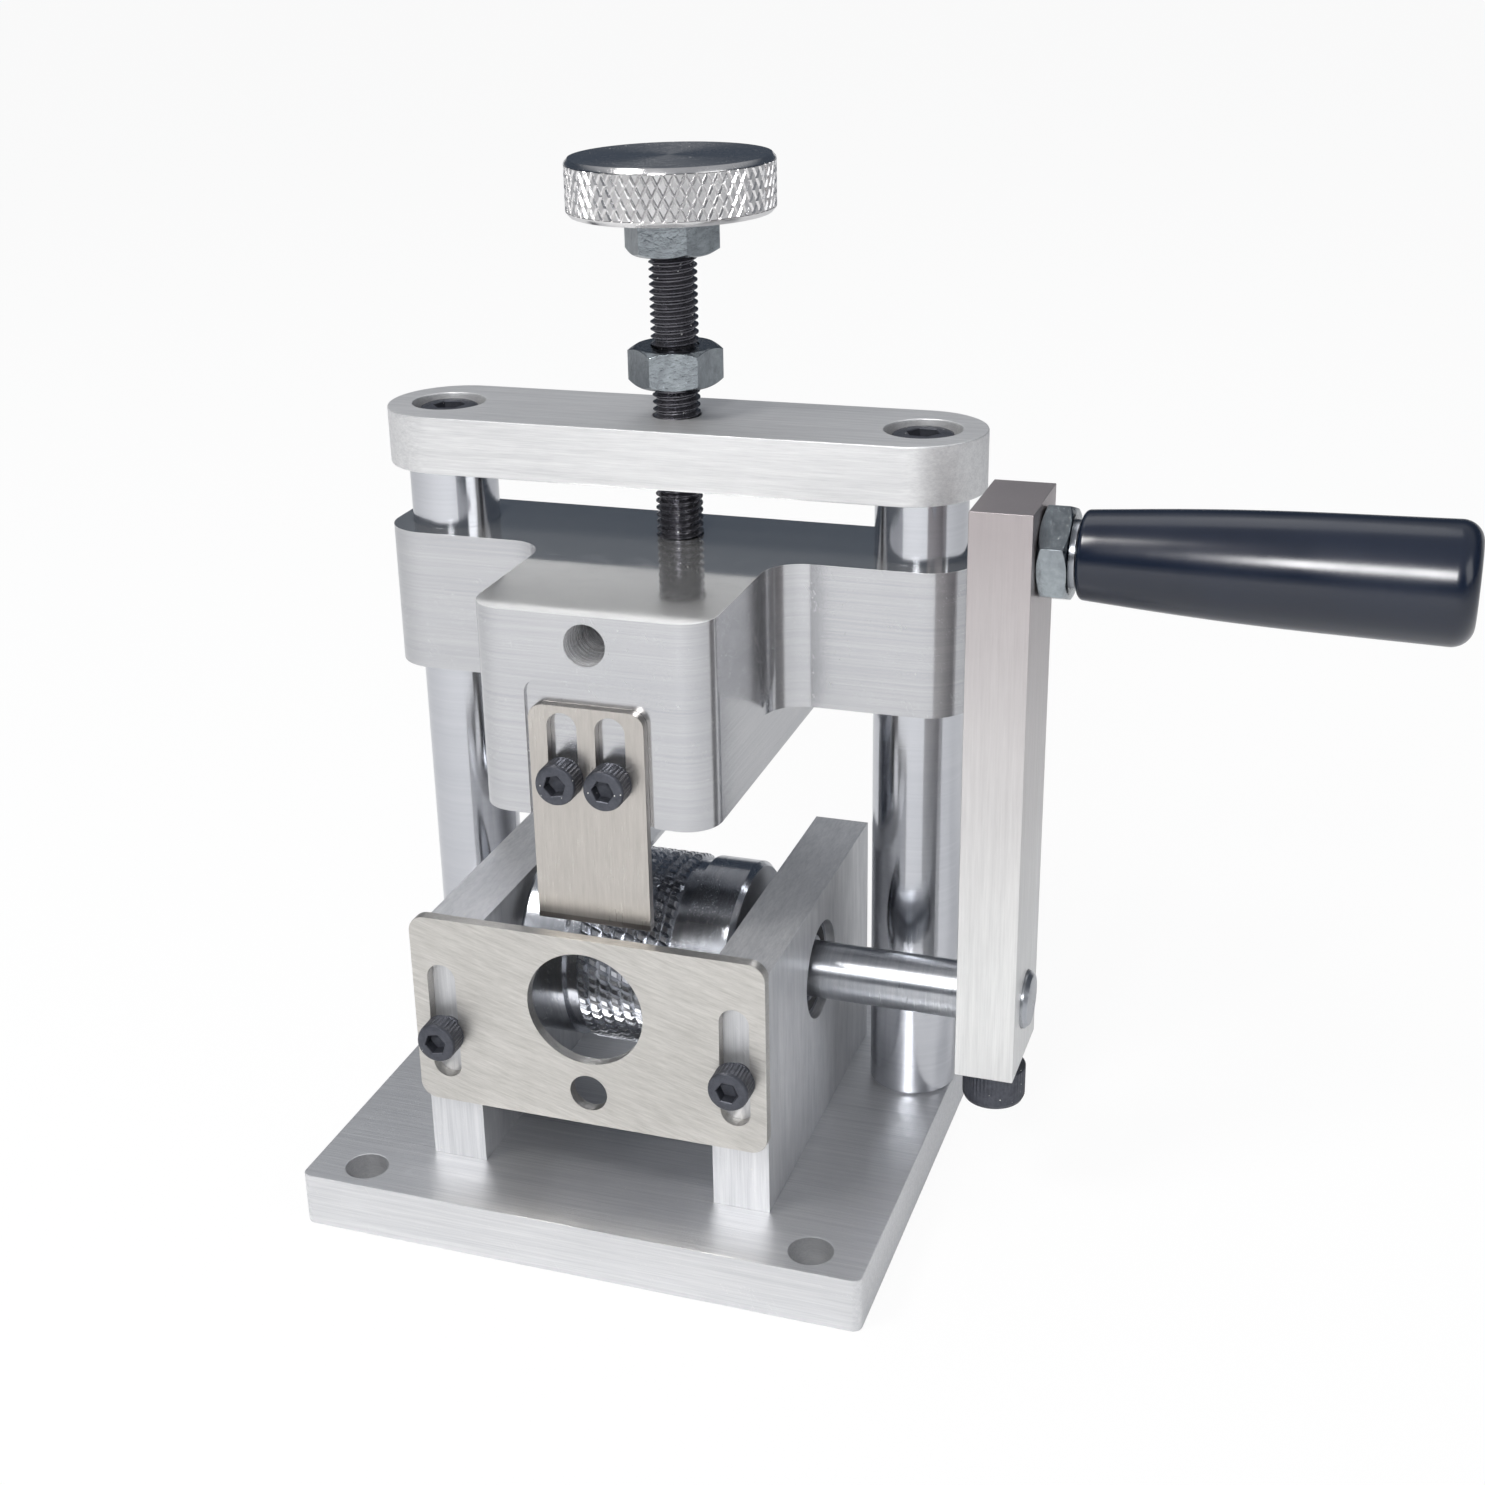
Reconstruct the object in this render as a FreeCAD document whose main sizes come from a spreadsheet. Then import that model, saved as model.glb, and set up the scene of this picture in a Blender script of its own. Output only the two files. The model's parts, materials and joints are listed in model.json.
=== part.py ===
import FreeCAD, Part
import math
import os
import Sketcher
from FreeCAD import Placement, Rotation, Vector

# Hand crank wire stripper: a knurled roller driven by a crank pulls a cable under a fixed blade,
# and a screw with a knob sets the height of the carriage that holds the blade.
# Frame: +X towards the crank, +Y towards the guide posts, +Z up. The origin is the centre of the
# base plate's underside, and the roller's axis lies straight above it. Millimetres.

doc = FreeCAD.newDocument("WireStripper")

# --- driving dimensions -------------------------------------------------------------------------

SIZES = {
    "Base plate": {
        "base_width": 122, "base_depth": 108, "base_thickness": 12, "base_corner_radius": 2,
        "fixing_hole_diameter": 9, "fixing_inset_x": 12, "fixing_inset_y": 7,
    },
    "Side plates and bearings": {
        "side_plate_gap": 51, "side_plate_thickness": 12, "side_plate_depth": 75,
        "side_plate_height": 54, "side_screw_span": 50, "side_screw_length": 20,
        "axle_height": 48.5, "bearing_recess": 2, "bearing_width": 5,
        "bearing_outer_diameter": 21, "ball_pitch_diameter": 16.5, "ball_diameter": 2.4,
        "ball_count": 12, "shield_thickness": 0.4, "shield_inset": 0.1, "shield_ring_gap": 0.15,
        "hub_bore_diameter": 17,
    },
    "Roller and shaft": {
        "roller_diameter": 42.4, "knurl_half_width": 10, "relief_width": 3, "relief_depth": 1.2,
        "flange_width": 10.3, "flange_chamfer": 1, "hub_diameter": 15, "shaft_diameter": 12,
        "shaft_stub": 0.5, "shaft_protrusion": 1.3, "shaft_chamfer": 0.8, "shaft_flat_depth": 0.5,
        "shaft_flat_length": 10, "roller_set_screw_length": 8,
    },
    "Inlet baffle": {
        "baffle_width": 76, "baffle_height": 42.4, "baffle_thickness": 2.5, "baffle_rise": 15.5,
        "baffle_corner_radius": 3.5, "inlet_diameter": 24.8, "inlet_rise": 26.7,
        "pilot_diameter": 8, "pilot_rise": 7.4, "baffle_slot_width": 6.2,
        "baffle_slot_length": 26.2, "baffle_slot_rise": 5.7, "baffle_screw_rise": 31.6,
        "baffle_screw_length": 16,
    },
    "Guide posts and top bar": {
        "guide_setback": 23.5, "post_span": 104, "post_diameter": 19, "post_length": 136,
        "post_chamfer": 0.6, "bar_end_margin": 13, "bar_depth": 30, "bar_thickness": 12.2,
        "post_screw_length": 25, "bar_screw_length": 25, "counterbore_depth": 8.8,
    },
    "Carriage": {
        "blade_gap": 2.5, "blade_reach": 19.7, "carriage_width": 49.4, "carriage_height": 42.6,
        "carriage_front": 31.3, "carriage_corner_radius": 7, "ear_end_wall": 2.75,
        "ear_height": 30.8, "ear_front": 13.4, "ear_back": 15, "ear_corner_radius": 9.5,
        "ear_blend_radius": 8, "front_hole_diameter": 8.6, "front_hole_drop": 6,
        "recess_width": 26.2, "recess_depth": 0.7, "recess_drop": 13.9,
        "recess_corner_radius": 3,
    },
    "Blade": {
        "blade_thickness": 3, "blade_length": 32, "blade_front": 12, "blade_seat": 18,
        "blade_bevel": 3, "blade_edge_width": 0.3, "blade_screw_span": 16,
        "blade_screw_length": 10, "blade_screw_rise": 8,
    },
    "Restricting plate": {
        "restrictor_width": 24, "restrictor_height": 46.2, "restrictor_thickness": 2,
        "restrictor_rise": 0.2, "restrictor_corner_radius": 3, "restrictor_slot_spacing": 10,
        "restrictor_slot_width": 6.2, "restrictor_slot_length": 15.9,
        "restrictor_slot_drop": 1.4, "restrictor_screw_drop": 14.75,
        "restrictor_screw_length": 12,
    },
    "Adjusting screw, nuts and knob": {
        "screw_diameter": 9.9, "screw_seat_depth": 12, "screw_neck_diameter": 7,
        "screw_neck_width": 4.4, "screw_chamfer": 0.8, "retainer_tip_diameter": 4,
        "retainer_tip_length": 2.5, "retainer_length": 12, "nut_across_flats": 17,
        "nut_face_diameter": 16.2, "nut_chamfer_height": 1, "nut_height": 8,
        "lock_nut_lift": 6.4, "lock_nut_turn": 17, "jam_nut_turn": 7, "knob_diameter": 42.2,
        "knob_thickness": 11.1, "knob_chamfer": 0.8, "knob_lift": 40.9, "knob_thread_depth": 7.5,
    },
    "Crank": {
        "arm_offset": 31.5, "arm_thickness": 12, "arm_width": 22.5, "crank_throw": 95.6,
        "arm_top_margin": 10.2, "arm_bottom_margin": 13.6, "clamp_screw_gap": 2.4,
        "thin_nut_height": 6, "handle_nut_turn": 10, "stud_collar_diameter": 13,
        "stud_collar_width": 0.8, "stud_inset": 1, "spindle_diameter": 8,
        "spindle_length": 56, "ring_groove_depth": 1, "ring_outer_diameter": 11,
        "ring_thickness": 1, "ring_setback": 3,
    },
    "Grip": {
        "grip_start_diameter": 16.8, "grip_swell_diameter": 21, "grip_end_diameter": 22.8,
        "grip_swell_length": 28, "grip_length": 69.7, "grip_end_radius": 4,
        "grip_start_radius": 1.2, "grip_side_gap": 0.4, "grip_chamber_diameter": 13,
    },
    "Cap screws and set screws": {
        "small_screw_diameter": 5, "small_head_diameter": 8.5, "small_head_height": 5,
        "small_socket": 4, "small_socket_depth": 2.5, "small_counterbore_diameter": 10,
        "small_counterbore_depth": 5.6, "large_screw_diameter": 8, "large_head_diameter": 13,
        "large_head_height": 8, "large_socket": 6, "large_socket_depth": 4,
        "large_counterbore_diameter": 15.7, "set_screw_socket": 2.5, "set_screw_socket_depth": 3,
        "retainer_socket": 4,
    },
    "Clearances": {
        "running_gap": 0.05, "thread_gap": 0.05, "sliding_gap": 0.05, "hub_gap": 0.1,
        "ball_gap": 0.03, "clearance_hole_gap": 0.25, "hole_reserve": 1.5,
        "ring_gap": 0.1, "retainer_gap": 0.1,
    },
}

# Places that follow from the driving dimensions: each is one formula on the second sheet.
PLACES = {
    "base_top": "Sizes.base_thickness",
    "side_plate_middle": "(Sizes.side_plate_gap + Sizes.side_plate_thickness) / 2",
    "side_plate_outer": "Sizes.side_plate_gap / 2 + Sizes.side_plate_thickness",
    "side_plate_front": "-Sizes.side_plate_depth / 2",
    "bearing_outer_face": "side_plate_outer - Sizes.bearing_recess",
    "bearing_inner_face": "bearing_outer_face - Sizes.bearing_width",
    "raceway_outer": "Sizes.ball_pitch_diameter + Sizes.ball_diameter + 2 * Sizes.ball_gap",
    "raceway_inner": "Sizes.ball_pitch_diameter - Sizes.ball_diameter - 2 * Sizes.ball_gap",
    "roller_half_width": "Sizes.knurl_half_width + Sizes.relief_width + Sizes.flange_width",
    "hub_end": "bearing_inner_face - Sizes.hub_gap",
    "roller_top": "Sizes.axle_height + Sizes.roller_diameter / 2",
    "baffle_bottom": "base_top + Sizes.baffle_rise",
    "baffle_back": "side_plate_front - Sizes.sliding_gap",
    "baffle_front": "baffle_back - Sizes.baffle_thickness",
    "baffle_screw_height": "base_top + Sizes.baffle_screw_rise",
    "post_top": "base_top + Sizes.post_length",
    "bar_top": "post_top + Sizes.bar_thickness",
    "bar_end_centre": "Sizes.post_span / 2 + Sizes.bar_end_margin - Sizes.bar_depth / 2",
    "blade_edge": "roller_top + Sizes.blade_gap",
    "blade_middle": "Sizes.blade_length / 2 - Sizes.blade_front",
    "carriage_bottom": "blade_edge + Sizes.blade_reach",
    "carriage_top": "carriage_bottom + Sizes.carriage_height",
    "carriage_face": "-Sizes.carriage_front",
    "ear_bottom": "carriage_top - Sizes.ear_height",
    "ear_end": "(Sizes.post_span + Sizes.post_diameter) / 2 + Sizes.running_gap + Sizes.ear_end_wall",
    "ear_back_face": "Sizes.guide_setback + Sizes.ear_back",
    "ear_front_face": "Sizes.guide_setback - Sizes.ear_front",
    "recess_face": "carriage_face + Sizes.recess_depth",
    "front_hole_height": "carriage_top - Sizes.front_hole_drop",
    "retainer_tip_end": "Sizes.guide_setback - Sizes.screw_neck_diameter / 2 - Sizes.retainer_gap",
    "restrictor_back": "recess_face - Sizes.sliding_gap",
    "restrictor_front": "restrictor_back - Sizes.restrictor_thickness",
    "restrictor_bottom": "roller_top + Sizes.restrictor_rise",
    "restrictor_top": "restrictor_bottom + Sizes.restrictor_height",
    "restrictor_screw_height": "restrictor_top - Sizes.restrictor_screw_drop",
    "screw_tip": "carriage_top - Sizes.screw_seat_depth",
    "knob_bottom": "bar_top + Sizes.knob_lift",
    "knob_top": "knob_bottom + Sizes.knob_thickness",
    "screw_top": "knob_bottom + Sizes.knob_thread_depth",
    "jam_nut_bottom": "knob_bottom - Sizes.nut_height",
    "lock_nut_bottom": "bar_top + Sizes.lock_nut_lift",
    "arm_inner": "side_plate_outer + Sizes.arm_offset",
    "arm_outer": "arm_inner + Sizes.arm_thickness",
    "arm_middle": "(arm_inner + arm_outer) / 2",
    "arm_bottom": "Sizes.axle_height - Sizes.arm_bottom_margin",
    "handle_height": "Sizes.axle_height + Sizes.crank_throw",
    "arm_top": "handle_height + Sizes.arm_top_margin",
    "shaft_start": "-(bearing_outer_face + Sizes.shaft_stub)",
    "shaft_end": "arm_outer + Sizes.shaft_protrusion",
    "shaft_flat": "Sizes.shaft_diameter / 2 - Sizes.shaft_flat_depth",
    "collar_start": "arm_outer + Sizes.thin_nut_height",
    "spindle_start": "collar_start + Sizes.stud_collar_width",
    "spindle_end": "spindle_start + Sizes.spindle_length",
    "ring_start": "spindle_end - Sizes.ring_setback - Sizes.ring_thickness",
    "ring_groove": "Sizes.spindle_diameter - 2 * Sizes.ring_groove_depth",
    "grip_start": "spindle_start + Sizes.grip_side_gap",
    "grip_end": "grip_start + Sizes.grip_length",
    "chamber_start": "ring_start - 2 * Sizes.ring_gap",
    "chamber_end": "spindle_end + Sizes.ring_thickness",
    "small_tapped": "Sizes.small_screw_diameter + 2 * Sizes.thread_gap",
    "large_tapped": "Sizes.large_screw_diameter + 2 * Sizes.thread_gap",
    "small_clear": "Sizes.small_screw_diameter + 2 * Sizes.clearance_hole_gap",
    "large_clear": "Sizes.large_screw_diameter + 2 * Sizes.clearance_hole_gap",
    "screw_hole": "Sizes.screw_diameter + 2 * Sizes.thread_gap",
    "spindle_hole": "Sizes.spindle_diameter + 2 * Sizes.running_gap",
    "shaft_hole": "Sizes.shaft_diameter + 2 * Sizes.running_gap",
}


def make_sizes_sheet():
    """The sheet of driving dimensions: name in column A, number in column B."""
    sheet = doc.addObject("Spreadsheet::Sheet", "Sizes")
    row = 1
    for group_name, values in SIZES.items():
        sheet.set(f"A{row}", group_name)
        for name, number in values.items():
            row += 1
            sheet.set(f"A{row}", name)
            sheet.set(f"B{row}", str(number))
            sheet.setAlias(f"B{row}", name)
        row += 2
    doc.recompute()
    return sheet


def make_places_sheet():
    """The sheet of derived places: every cell is a formula on the sizes and earlier places."""
    sheet = doc.addObject("Spreadsheet::Sheet", "Places")
    for row, (name, formula) in enumerate(PLACES.items(), start=1):
        sheet.set(f"A{row}", name)
        sheet.setAlias(f"B{row}", name)
        sheet.set(f"B{row}", "=" + formula)
    doc.recompute()
    return sheet


sizes = make_sizes_sheet()
make_places_sheet()
parts = []

UP = Vector(0, 0, 1)
DOWNWARD = Rotation(Vector(1, 0, 0), 180)
FORWARD = Rotation(Vector(1, 0, 0), 90)
RIGHTWARD = Rotation(Vector(0, 1, 0), 90)
LEFTWARD = Rotation(Vector(0, 1, 0), -90)
SIDES = {"left": "-1", "right": "1"}
# An edge this near to the place asked for lies there.
TOUCHING = 0.001


def keep(piece, label):
    """Label a finished sub-part and list it for the export."""
    piece.Label = label
    parts.append(piece)
    return piece


def bind(obj, **formulas):
    """Bind properties to formulas; a double underscore in a name stands for a dot."""
    for name, formula in formulas.items():
        obj.setExpression(name.replace("__", "."), formula)


def put(obj, x="0", y="0", z="0", turn=None):
    """Place an object by three formulas, after turning it."""
    obj.Placement = Placement(Vector(), turn or Rotation())
    bind(obj, Placement__Base__x=x, Placement__Base__y=y, Placement__Base__z=z)
    return obj


def value(formula):
    """The present number behind a formula."""
    return float(sizes.evalExpression(formula))


# --- sketches -----------------------------------------------------------------------------------

def make_sketch(body, plane, offset="0"):
    """A sketch on one of the body's own origin planes, moved along that plane's normal."""
    sketch = body.newObject("Sketcher::SketchObject", "Sketch")
    base = next(f for f in body.Origin.OriginFeatures if f.Role == plane)
    sketch.AttachmentSupport = [(base, "")]
    sketch.MapMode = "FlatFace"
    bind(sketch, AttachmentOffset__Base__z=offset)
    return sketch


def constrain(sketch, kind, formula, *what):
    """Add a dimension to the sketch and bind it to a formula."""
    index = sketch.addConstraint(Sketcher.Constraint(kind, *what, value(formula)))
    sketch.setExpression(f"Constraints[{index}]", formula)


def pin(sketch, geometry, point, across, up):
    """Hold a point of the sketch at two formulas measured from the sketch's origin."""
    for kind, formula, axis in (("DistanceX", across, -2), ("DistanceY", up, -1)):
        if formula == "0":
            sketch.addConstraint(Sketcher.Constraint("PointOnObject", geometry, point, axis))
        else:
            constrain(sketch, kind, formula, -1, 1, geometry, point)


def draw_circle(sketch, diameter, across="0", up="0"):
    """A circle given by the formulas of its diameter and centre."""
    centre = Vector(value(across), value(up), 0)
    circle = sketch.addGeometry(Part.Circle(centre, UP, value(diameter) / 2))
    constrain(sketch, "Diameter", diameter, circle)
    pin(sketch, circle, 3, across, up)


def draw_outline(sketch, corners):
    """A closed outline of straight lines through corners given as pairs of formulas."""
    spots = [Vector(value(across), value(up), 0) for across, up in corners]
    ends = spots[1:] + spots[:1]
    lines = [sketch.addGeometry(Part.LineSegment(a, b)) for a, b in zip(spots, ends)]
    for line, following in zip(lines, lines[1:] + lines[:1]):
        sketch.addConstraint(Sketcher.Constraint("Coincident", line, 2, following, 1))
    for line, (across, up) in zip(lines, corners):
        pin(sketch, line, 1, across, up)


def draw_rectangle(sketch, left, right, bottom, top):
    """An upright rectangle given by the formulas of its four sides."""
    draw_outline(sketch, [(left, bottom), (right, bottom), (right, top), (left, top)])


def draw_slot(sketch, width, across, bottom, top):
    """An upright slot with round ends; bottom and top are its overall ends."""
    radius, middle = value(width) / 2, value(across)
    low, high = value(bottom) + radius, value(top) - radius
    low_circle = Part.Circle(Vector(middle, low, 0), UP, radius)
    high_circle = Part.Circle(Vector(middle, high, 0), UP, radius)
    right_ends = Vector(middle + radius, low, 0), Vector(middle + radius, high, 0)
    left_ends = Vector(middle - radius, high, 0), Vector(middle - radius, low, 0)
    chain = [
        sketch.addGeometry(Part.ArcOfCircle(low_circle, math.pi, 2 * math.pi)),
        sketch.addGeometry(Part.LineSegment(*right_ends)),
        sketch.addGeometry(Part.ArcOfCircle(high_circle, 0, math.pi)),
        sketch.addGeometry(Part.LineSegment(*left_ends)),
    ]
    for link, following in zip(chain, chain[1:] + chain[:1]):
        sketch.addConstraint(Sketcher.Constraint("Tangent", link, 2, following, 1))
    constrain(sketch, "Radius", f"{width} / 2", chain[0])
    pin(sketch, chain[0], 3, across, f"{bottom} + {width} / 2")
    pin(sketch, chain[2], 3, across, f"{top} - {width} / 2")


# --- PartDesign features ------------------------------------------------------------------------

def extend(body, kind, sketch, length, reverse):
    """A pad or pocket of the sketch; it must change the body's volume the right way."""
    before = body.Shape.Volume if body.Tip else 0
    feature = body.newObject(kind, kind.split("::")[1])
    feature.Profile = sketch
    feature.Reversed = reverse
    bind(feature, Length=length)
    body.Tip = feature
    doc.recompute()
    grew = feature.Shape.Volume > before
    if grew != kind.endswith("Pad"):
        raise RuntimeError(f"{body.Name}: {feature.Name} missed the solid")
    return feature


def pad(body, sketch, length, reverse=False):
    """Material from the sketch along its plane's normal, or against it when reversed."""
    return extend(body, "PartDesign::Pad", sketch, length, reverse)


def pocket(body, sketch, depth, reverse=False):
    """A cut from the sketch against its plane's normal, or along it when reversed."""
    return extend(body, "PartDesign::Pocket", sketch, depth, reverse)


def round_holes(body, plane, offset, diameter, depth, centres, reverse=False):
    """Round holes of one diameter and depth that start from one plane."""
    sketch = make_sketch(body, plane, offset)
    for across, up in centres:
        draw_circle(sketch, diameter, across, up)
    return pocket(body, sketch, depth, reverse)


def turned(name, plane, axis, outline):
    """A body turned from a closed outline round the sketch's H_Axis or V_Axis."""
    body = doc.addObject("PartDesign::Body", name)
    sketch = make_sketch(body, plane)
    draw_outline(sketch, outline)
    feature = body.newObject("PartDesign::Revolution", "Revolution")
    feature.Profile = sketch
    feature.ReferenceAxis = (sketch, [axis])
    feature.Angle = 360
    body.Tip = feature
    doc.recompute()
    return body


def straight_edges(body, along, spots):
    """Names of the edges parallel to axis 0, 1 or 2 that pass the given pairs of coordinates."""
    others = [axis for axis in range(3) if axis != along]
    names = []
    for number, edge in enumerate(body.Shape.Edges, start=1):
        start, end = edge.Vertexes[0].Point, edge.Vertexes[-1].Point
        parallel = all(abs(start[axis] - end[axis]) < TOUCHING for axis in others)
        for spot in spots:
            near = all(abs(start[axis] - value(at)) < TOUCHING for axis, at in zip(others, spot))
            if parallel and near:
                names.append(f"Edge{number}")
    return names


def ring_edges(body, along, radius):
    """Names of the circular edges round the X axis at one place along it."""
    names = []
    for number, edge in enumerate(body.Shape.Edges, start=1):
        centre = edge.CenterOfMass
        if abs(centre.x - value(along)) < TOUCHING and isinstance(edge.Curve, Part.Circle):
            if abs(edge.Curve.Radius - value(radius)) < TOUCHING:
                names.append(f"Edge{number}")
    return names


def round_off(body, edges, radius):
    """Fillet edges of the body's latest feature."""
    base = body.Tip
    feature = body.newObject("PartDesign::Fillet", "Fillet")
    feature.Base = (base, edges)
    bind(feature, Radius=radius)
    body.Tip = feature
    doc.recompute()
    return feature


# --- Part primitives and standard hardware ------------------------------------------------------

def cylinder(diameter, height, x="0", y="0", z="0", turn=None):
    piece = doc.addObject("Part::Cylinder", "Cylinder")
    bind(piece, Radius=f"({diameter}) / 2", Height=height)
    return put(piece, x, y, z, turn)


def hexagon(across_flats, height, x="0", y="0", z="0", turn=None):
    piece = doc.addObject("Part::Prism", "Hexagon")
    piece.Polygon = 6
    bind(piece, Circumradius=f"({across_flats}) / 2 / cos(30deg)", Height=height)
    return put(piece, x, y, z, turn)


def combine(kind, base, tool):
    """Part::Cut or Part::Common of two objects."""
    piece = doc.addObject(kind, kind.split("::")[1])
    piece.Base = base
    piece.Tool = tool
    return piece


def fuse(*pieces):
    piece = doc.addObject("Part::MultiFuse", "Fusion")
    piece.Shapes = list(pieces)
    return piece


def group(label, pieces):
    """Identical loose pieces under one name."""
    compound = doc.addObject("Part::Compound", "Group")
    compound.Links = pieces
    return keep(compound, label)


def ring(outer, inner, width, x, z):
    """A flat ring round an axis parallel to X; x is its left face."""
    blank = cylinder(outer, width)
    bore = cylinder(inner, width)
    return put(combine("Part::Cut", blank, bore), x, "0", z, RIGHTWARD)


def cap_screw(family, length, x, y, z, turn=None):
    """A socket head cap screw: its head sits on the given place and its shank points along -Z."""
    head_height = f"Sizes.{family}_head_height"
    socket_depth = f"Sizes.{family}_socket_depth"
    head = cylinder(f"Sizes.{family}_head_diameter", head_height)
    shank = cylinder(f"Sizes.{family}_screw_diameter", f"{length} + {socket_depth} / 4",
                     z=f"-({length})")
    socket = hexagon(f"Sizes.{family}_socket", socket_depth, z=f"{head_height} - {socket_depth}")
    return put(combine("Part::Cut", fuse(head, shank), socket), x, y, z, turn)


def set_screw(length, x, y, z, turn=None):
    """A headless screw that hangs down from its place, with its socket in the upper end."""
    depth = "Sizes.set_screw_socket_depth"
    shank = cylinder("Sizes.small_screw_diameter", length, z=f"-({length})")
    socket = hexagon("Sizes.set_screw_socket", depth, z=f"-({depth})")
    return put(combine("Part::Cut", shank, socket), x, y, z, turn)


def hex_nut(label, height, x, y, z, turn):
    """A hexagon nut: a prism, trimmed by a turned blank that rounds its corners, and bored."""
    corner = "Sizes.nut_across_flats / 2 / cos(30deg)"
    face = "Sizes.nut_face_diameter / 2"
    chamfer = "Sizes.nut_chamfer_height"
    bore = "Places.screw_hole / 2"
    blank = turned("NutBlank", "XZ_Plane", "V_Axis", [
        (bore, "0"), (face, "0"), (corner, chamfer),
        (corner, f"{height} - {chamfer}"), (face, height), (bore, height),
    ])
    prism = hexagon("Sizes.nut_across_flats", height)
    return keep(put(combine("Part::Common", prism, blank), x, y, z, turn), label)


# --- base, side plates and bearings -------------------------------------------------------------

def make_base_plate():
    body = doc.addObject("PartDesign::Body", "BasePlate")
    half_x, half_y = "Sizes.base_width / 2", "Sizes.base_depth / 2"
    sketch = make_sketch(body, "XY_Plane")
    draw_rectangle(sketch, f"-{half_x}", half_x, f"-{half_y}", half_y)
    pad(body, sketch, "Sizes.base_thickness")
    corners = [(x + half_x, y + half_y) for x in ("-", "") for y in ("-", "")]
    round_off(body, straight_edges(body, 2, corners), "Sizes.base_corner_radius")
    fixings = [(f"{x} * ({half_x} - Sizes.fixing_inset_x)", f"{y} * ({half_y} - Sizes.fixing_inset_y)")
               for x in ("-1", "1") for y in ("-1", "1")]
    round_holes(body, "XY_Plane", "0", "Sizes.fixing_hole_diameter", "Sizes.base_thickness",
                fixings, reverse=True)
    posts = [(f"{sign} * Sizes.post_span / 2", "Sizes.guide_setback") for sign in SIDES.values()]
    round_holes(body, "XY_Plane", "0", "Places.large_clear", "Sizes.base_thickness", posts, True)
    round_holes(body, "XY_Plane", "0", "Sizes.large_counterbore_diameter",
                "Sizes.counterbore_depth", posts, True)
    round_holes(body, "XY_Plane", "0", "Places.small_clear", "Sizes.base_thickness",
                side_screw_spots(), True)
    round_holes(body, "XY_Plane", "0", "Sizes.small_counterbore_diameter",
                "Sizes.small_counterbore_depth", side_screw_spots(), True)
    return keep(body, "base_plate")


def side_screw_spots(signs=tuple(SIDES.values())):
    """Where the side plates are screwed down, as (x, y) formulas."""
    return [(f"{sign} * Places.side_plate_middle", f"{end} * Sizes.side_screw_span / 2")
            for sign in signs for end in ("-1", "1")]


def make_side_plate(side, sign):
    body = doc.addObject("PartDesign::Body", "SidePlate")
    middle, half = f"{sign} * Places.side_plate_middle", "Sizes.side_plate_thickness / 2"
    sketch = make_sketch(body, "XY_Plane", "Places.base_top")
    draw_rectangle(sketch, f"{middle} - {half}", f"{middle} + {half}",
                   "-Sizes.side_plate_depth / 2", "Sizes.side_plate_depth / 2")
    pad(body, sketch, "Sizes.side_plate_height")
    outer, inwards = f"{sign} * Places.side_plate_outer", side == "left"
    axle = [("0", "Sizes.axle_height")]
    round_holes(body, "YZ_Plane", outer, "Sizes.hub_bore_diameter",
                "Sizes.side_plate_thickness", axle, inwards)
    round_holes(body, "YZ_Plane", outer, "Sizes.bearing_outer_diameter + 2 * Sizes.running_gap",
                "Sizes.bearing_recess + Sizes.bearing_width", axle, inwards)
    in_base = "Sizes.base_thickness - Sizes.small_counterbore_depth"
    round_holes(body, "XY_Plane", "Places.base_top", "Places.small_tapped",
                f"Sizes.side_screw_length - ({in_base}) + Sizes.hole_reserve",
                side_screw_spots([sign]), True)
    round_holes(body, "XZ_Plane", "-Places.side_plate_front", "Places.small_tapped",
                "Sizes.baffle_screw_length - Sizes.baffle_thickness + Sizes.hole_reserve",
                [(middle, "Places.baffle_screw_height")])
    return keep(body, f"side_plate_{side}")


def make_side_plate_screws():
    return group("side_plate_screws", [
        cap_screw("small", "Sizes.side_screw_length", x, y, "Sizes.small_counterbore_depth",
                  DOWNWARD)
        for x, y in side_screw_spots()])


def make_bearing(side, sign):
    """A shielded ball bearing: two rings, a crown of balls and a thin shield on each face."""
    face = "Places.bearing_inner_face" if side == "right" else "-Places.bearing_outer_face"
    width, axle = "Sizes.bearing_width", "Sizes.axle_height"
    keep(ring("Sizes.bearing_outer_diameter", "Places.raceway_outer", width, face, axle),
         f"bearing_outer_ring_{side}")
    keep(ring("Places.raceway_inner", "Places.shaft_hole", width, face, axle),
         f"bearing_inner_ring_{side}")
    balls = []
    for number in range(round(value("Sizes.ball_count"))):
        angle = f"{number} * 360deg / Sizes.ball_count"
        ball = doc.addObject("Part::Sphere", "Ball")
        bind(ball, Radius="Sizes.ball_diameter / 2")
        put(ball, f"{face} + {width} / 2", f"Sizes.ball_pitch_diameter / 2 * cos({angle})",
            f"{axle} + Sizes.ball_pitch_diameter / 2 * sin({angle})")
        balls.append(ball)
    group(f"bearing_balls_{side}", balls)
    inset, thickness = "Sizes.shield_inset", "Sizes.shield_thickness"
    inner = "Places.raceway_inner + 2 * Sizes.shield_ring_gap"
    group(f"bearing_shields_{side}", [
        ring("Places.raceway_outer", inner, thickness, start, axle)
        for start in (f"{face} + {inset}", f"{face} + {width} - {inset} - {thickness}")])


# --- roller and shaft ---------------------------------------------------------------------------

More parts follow.
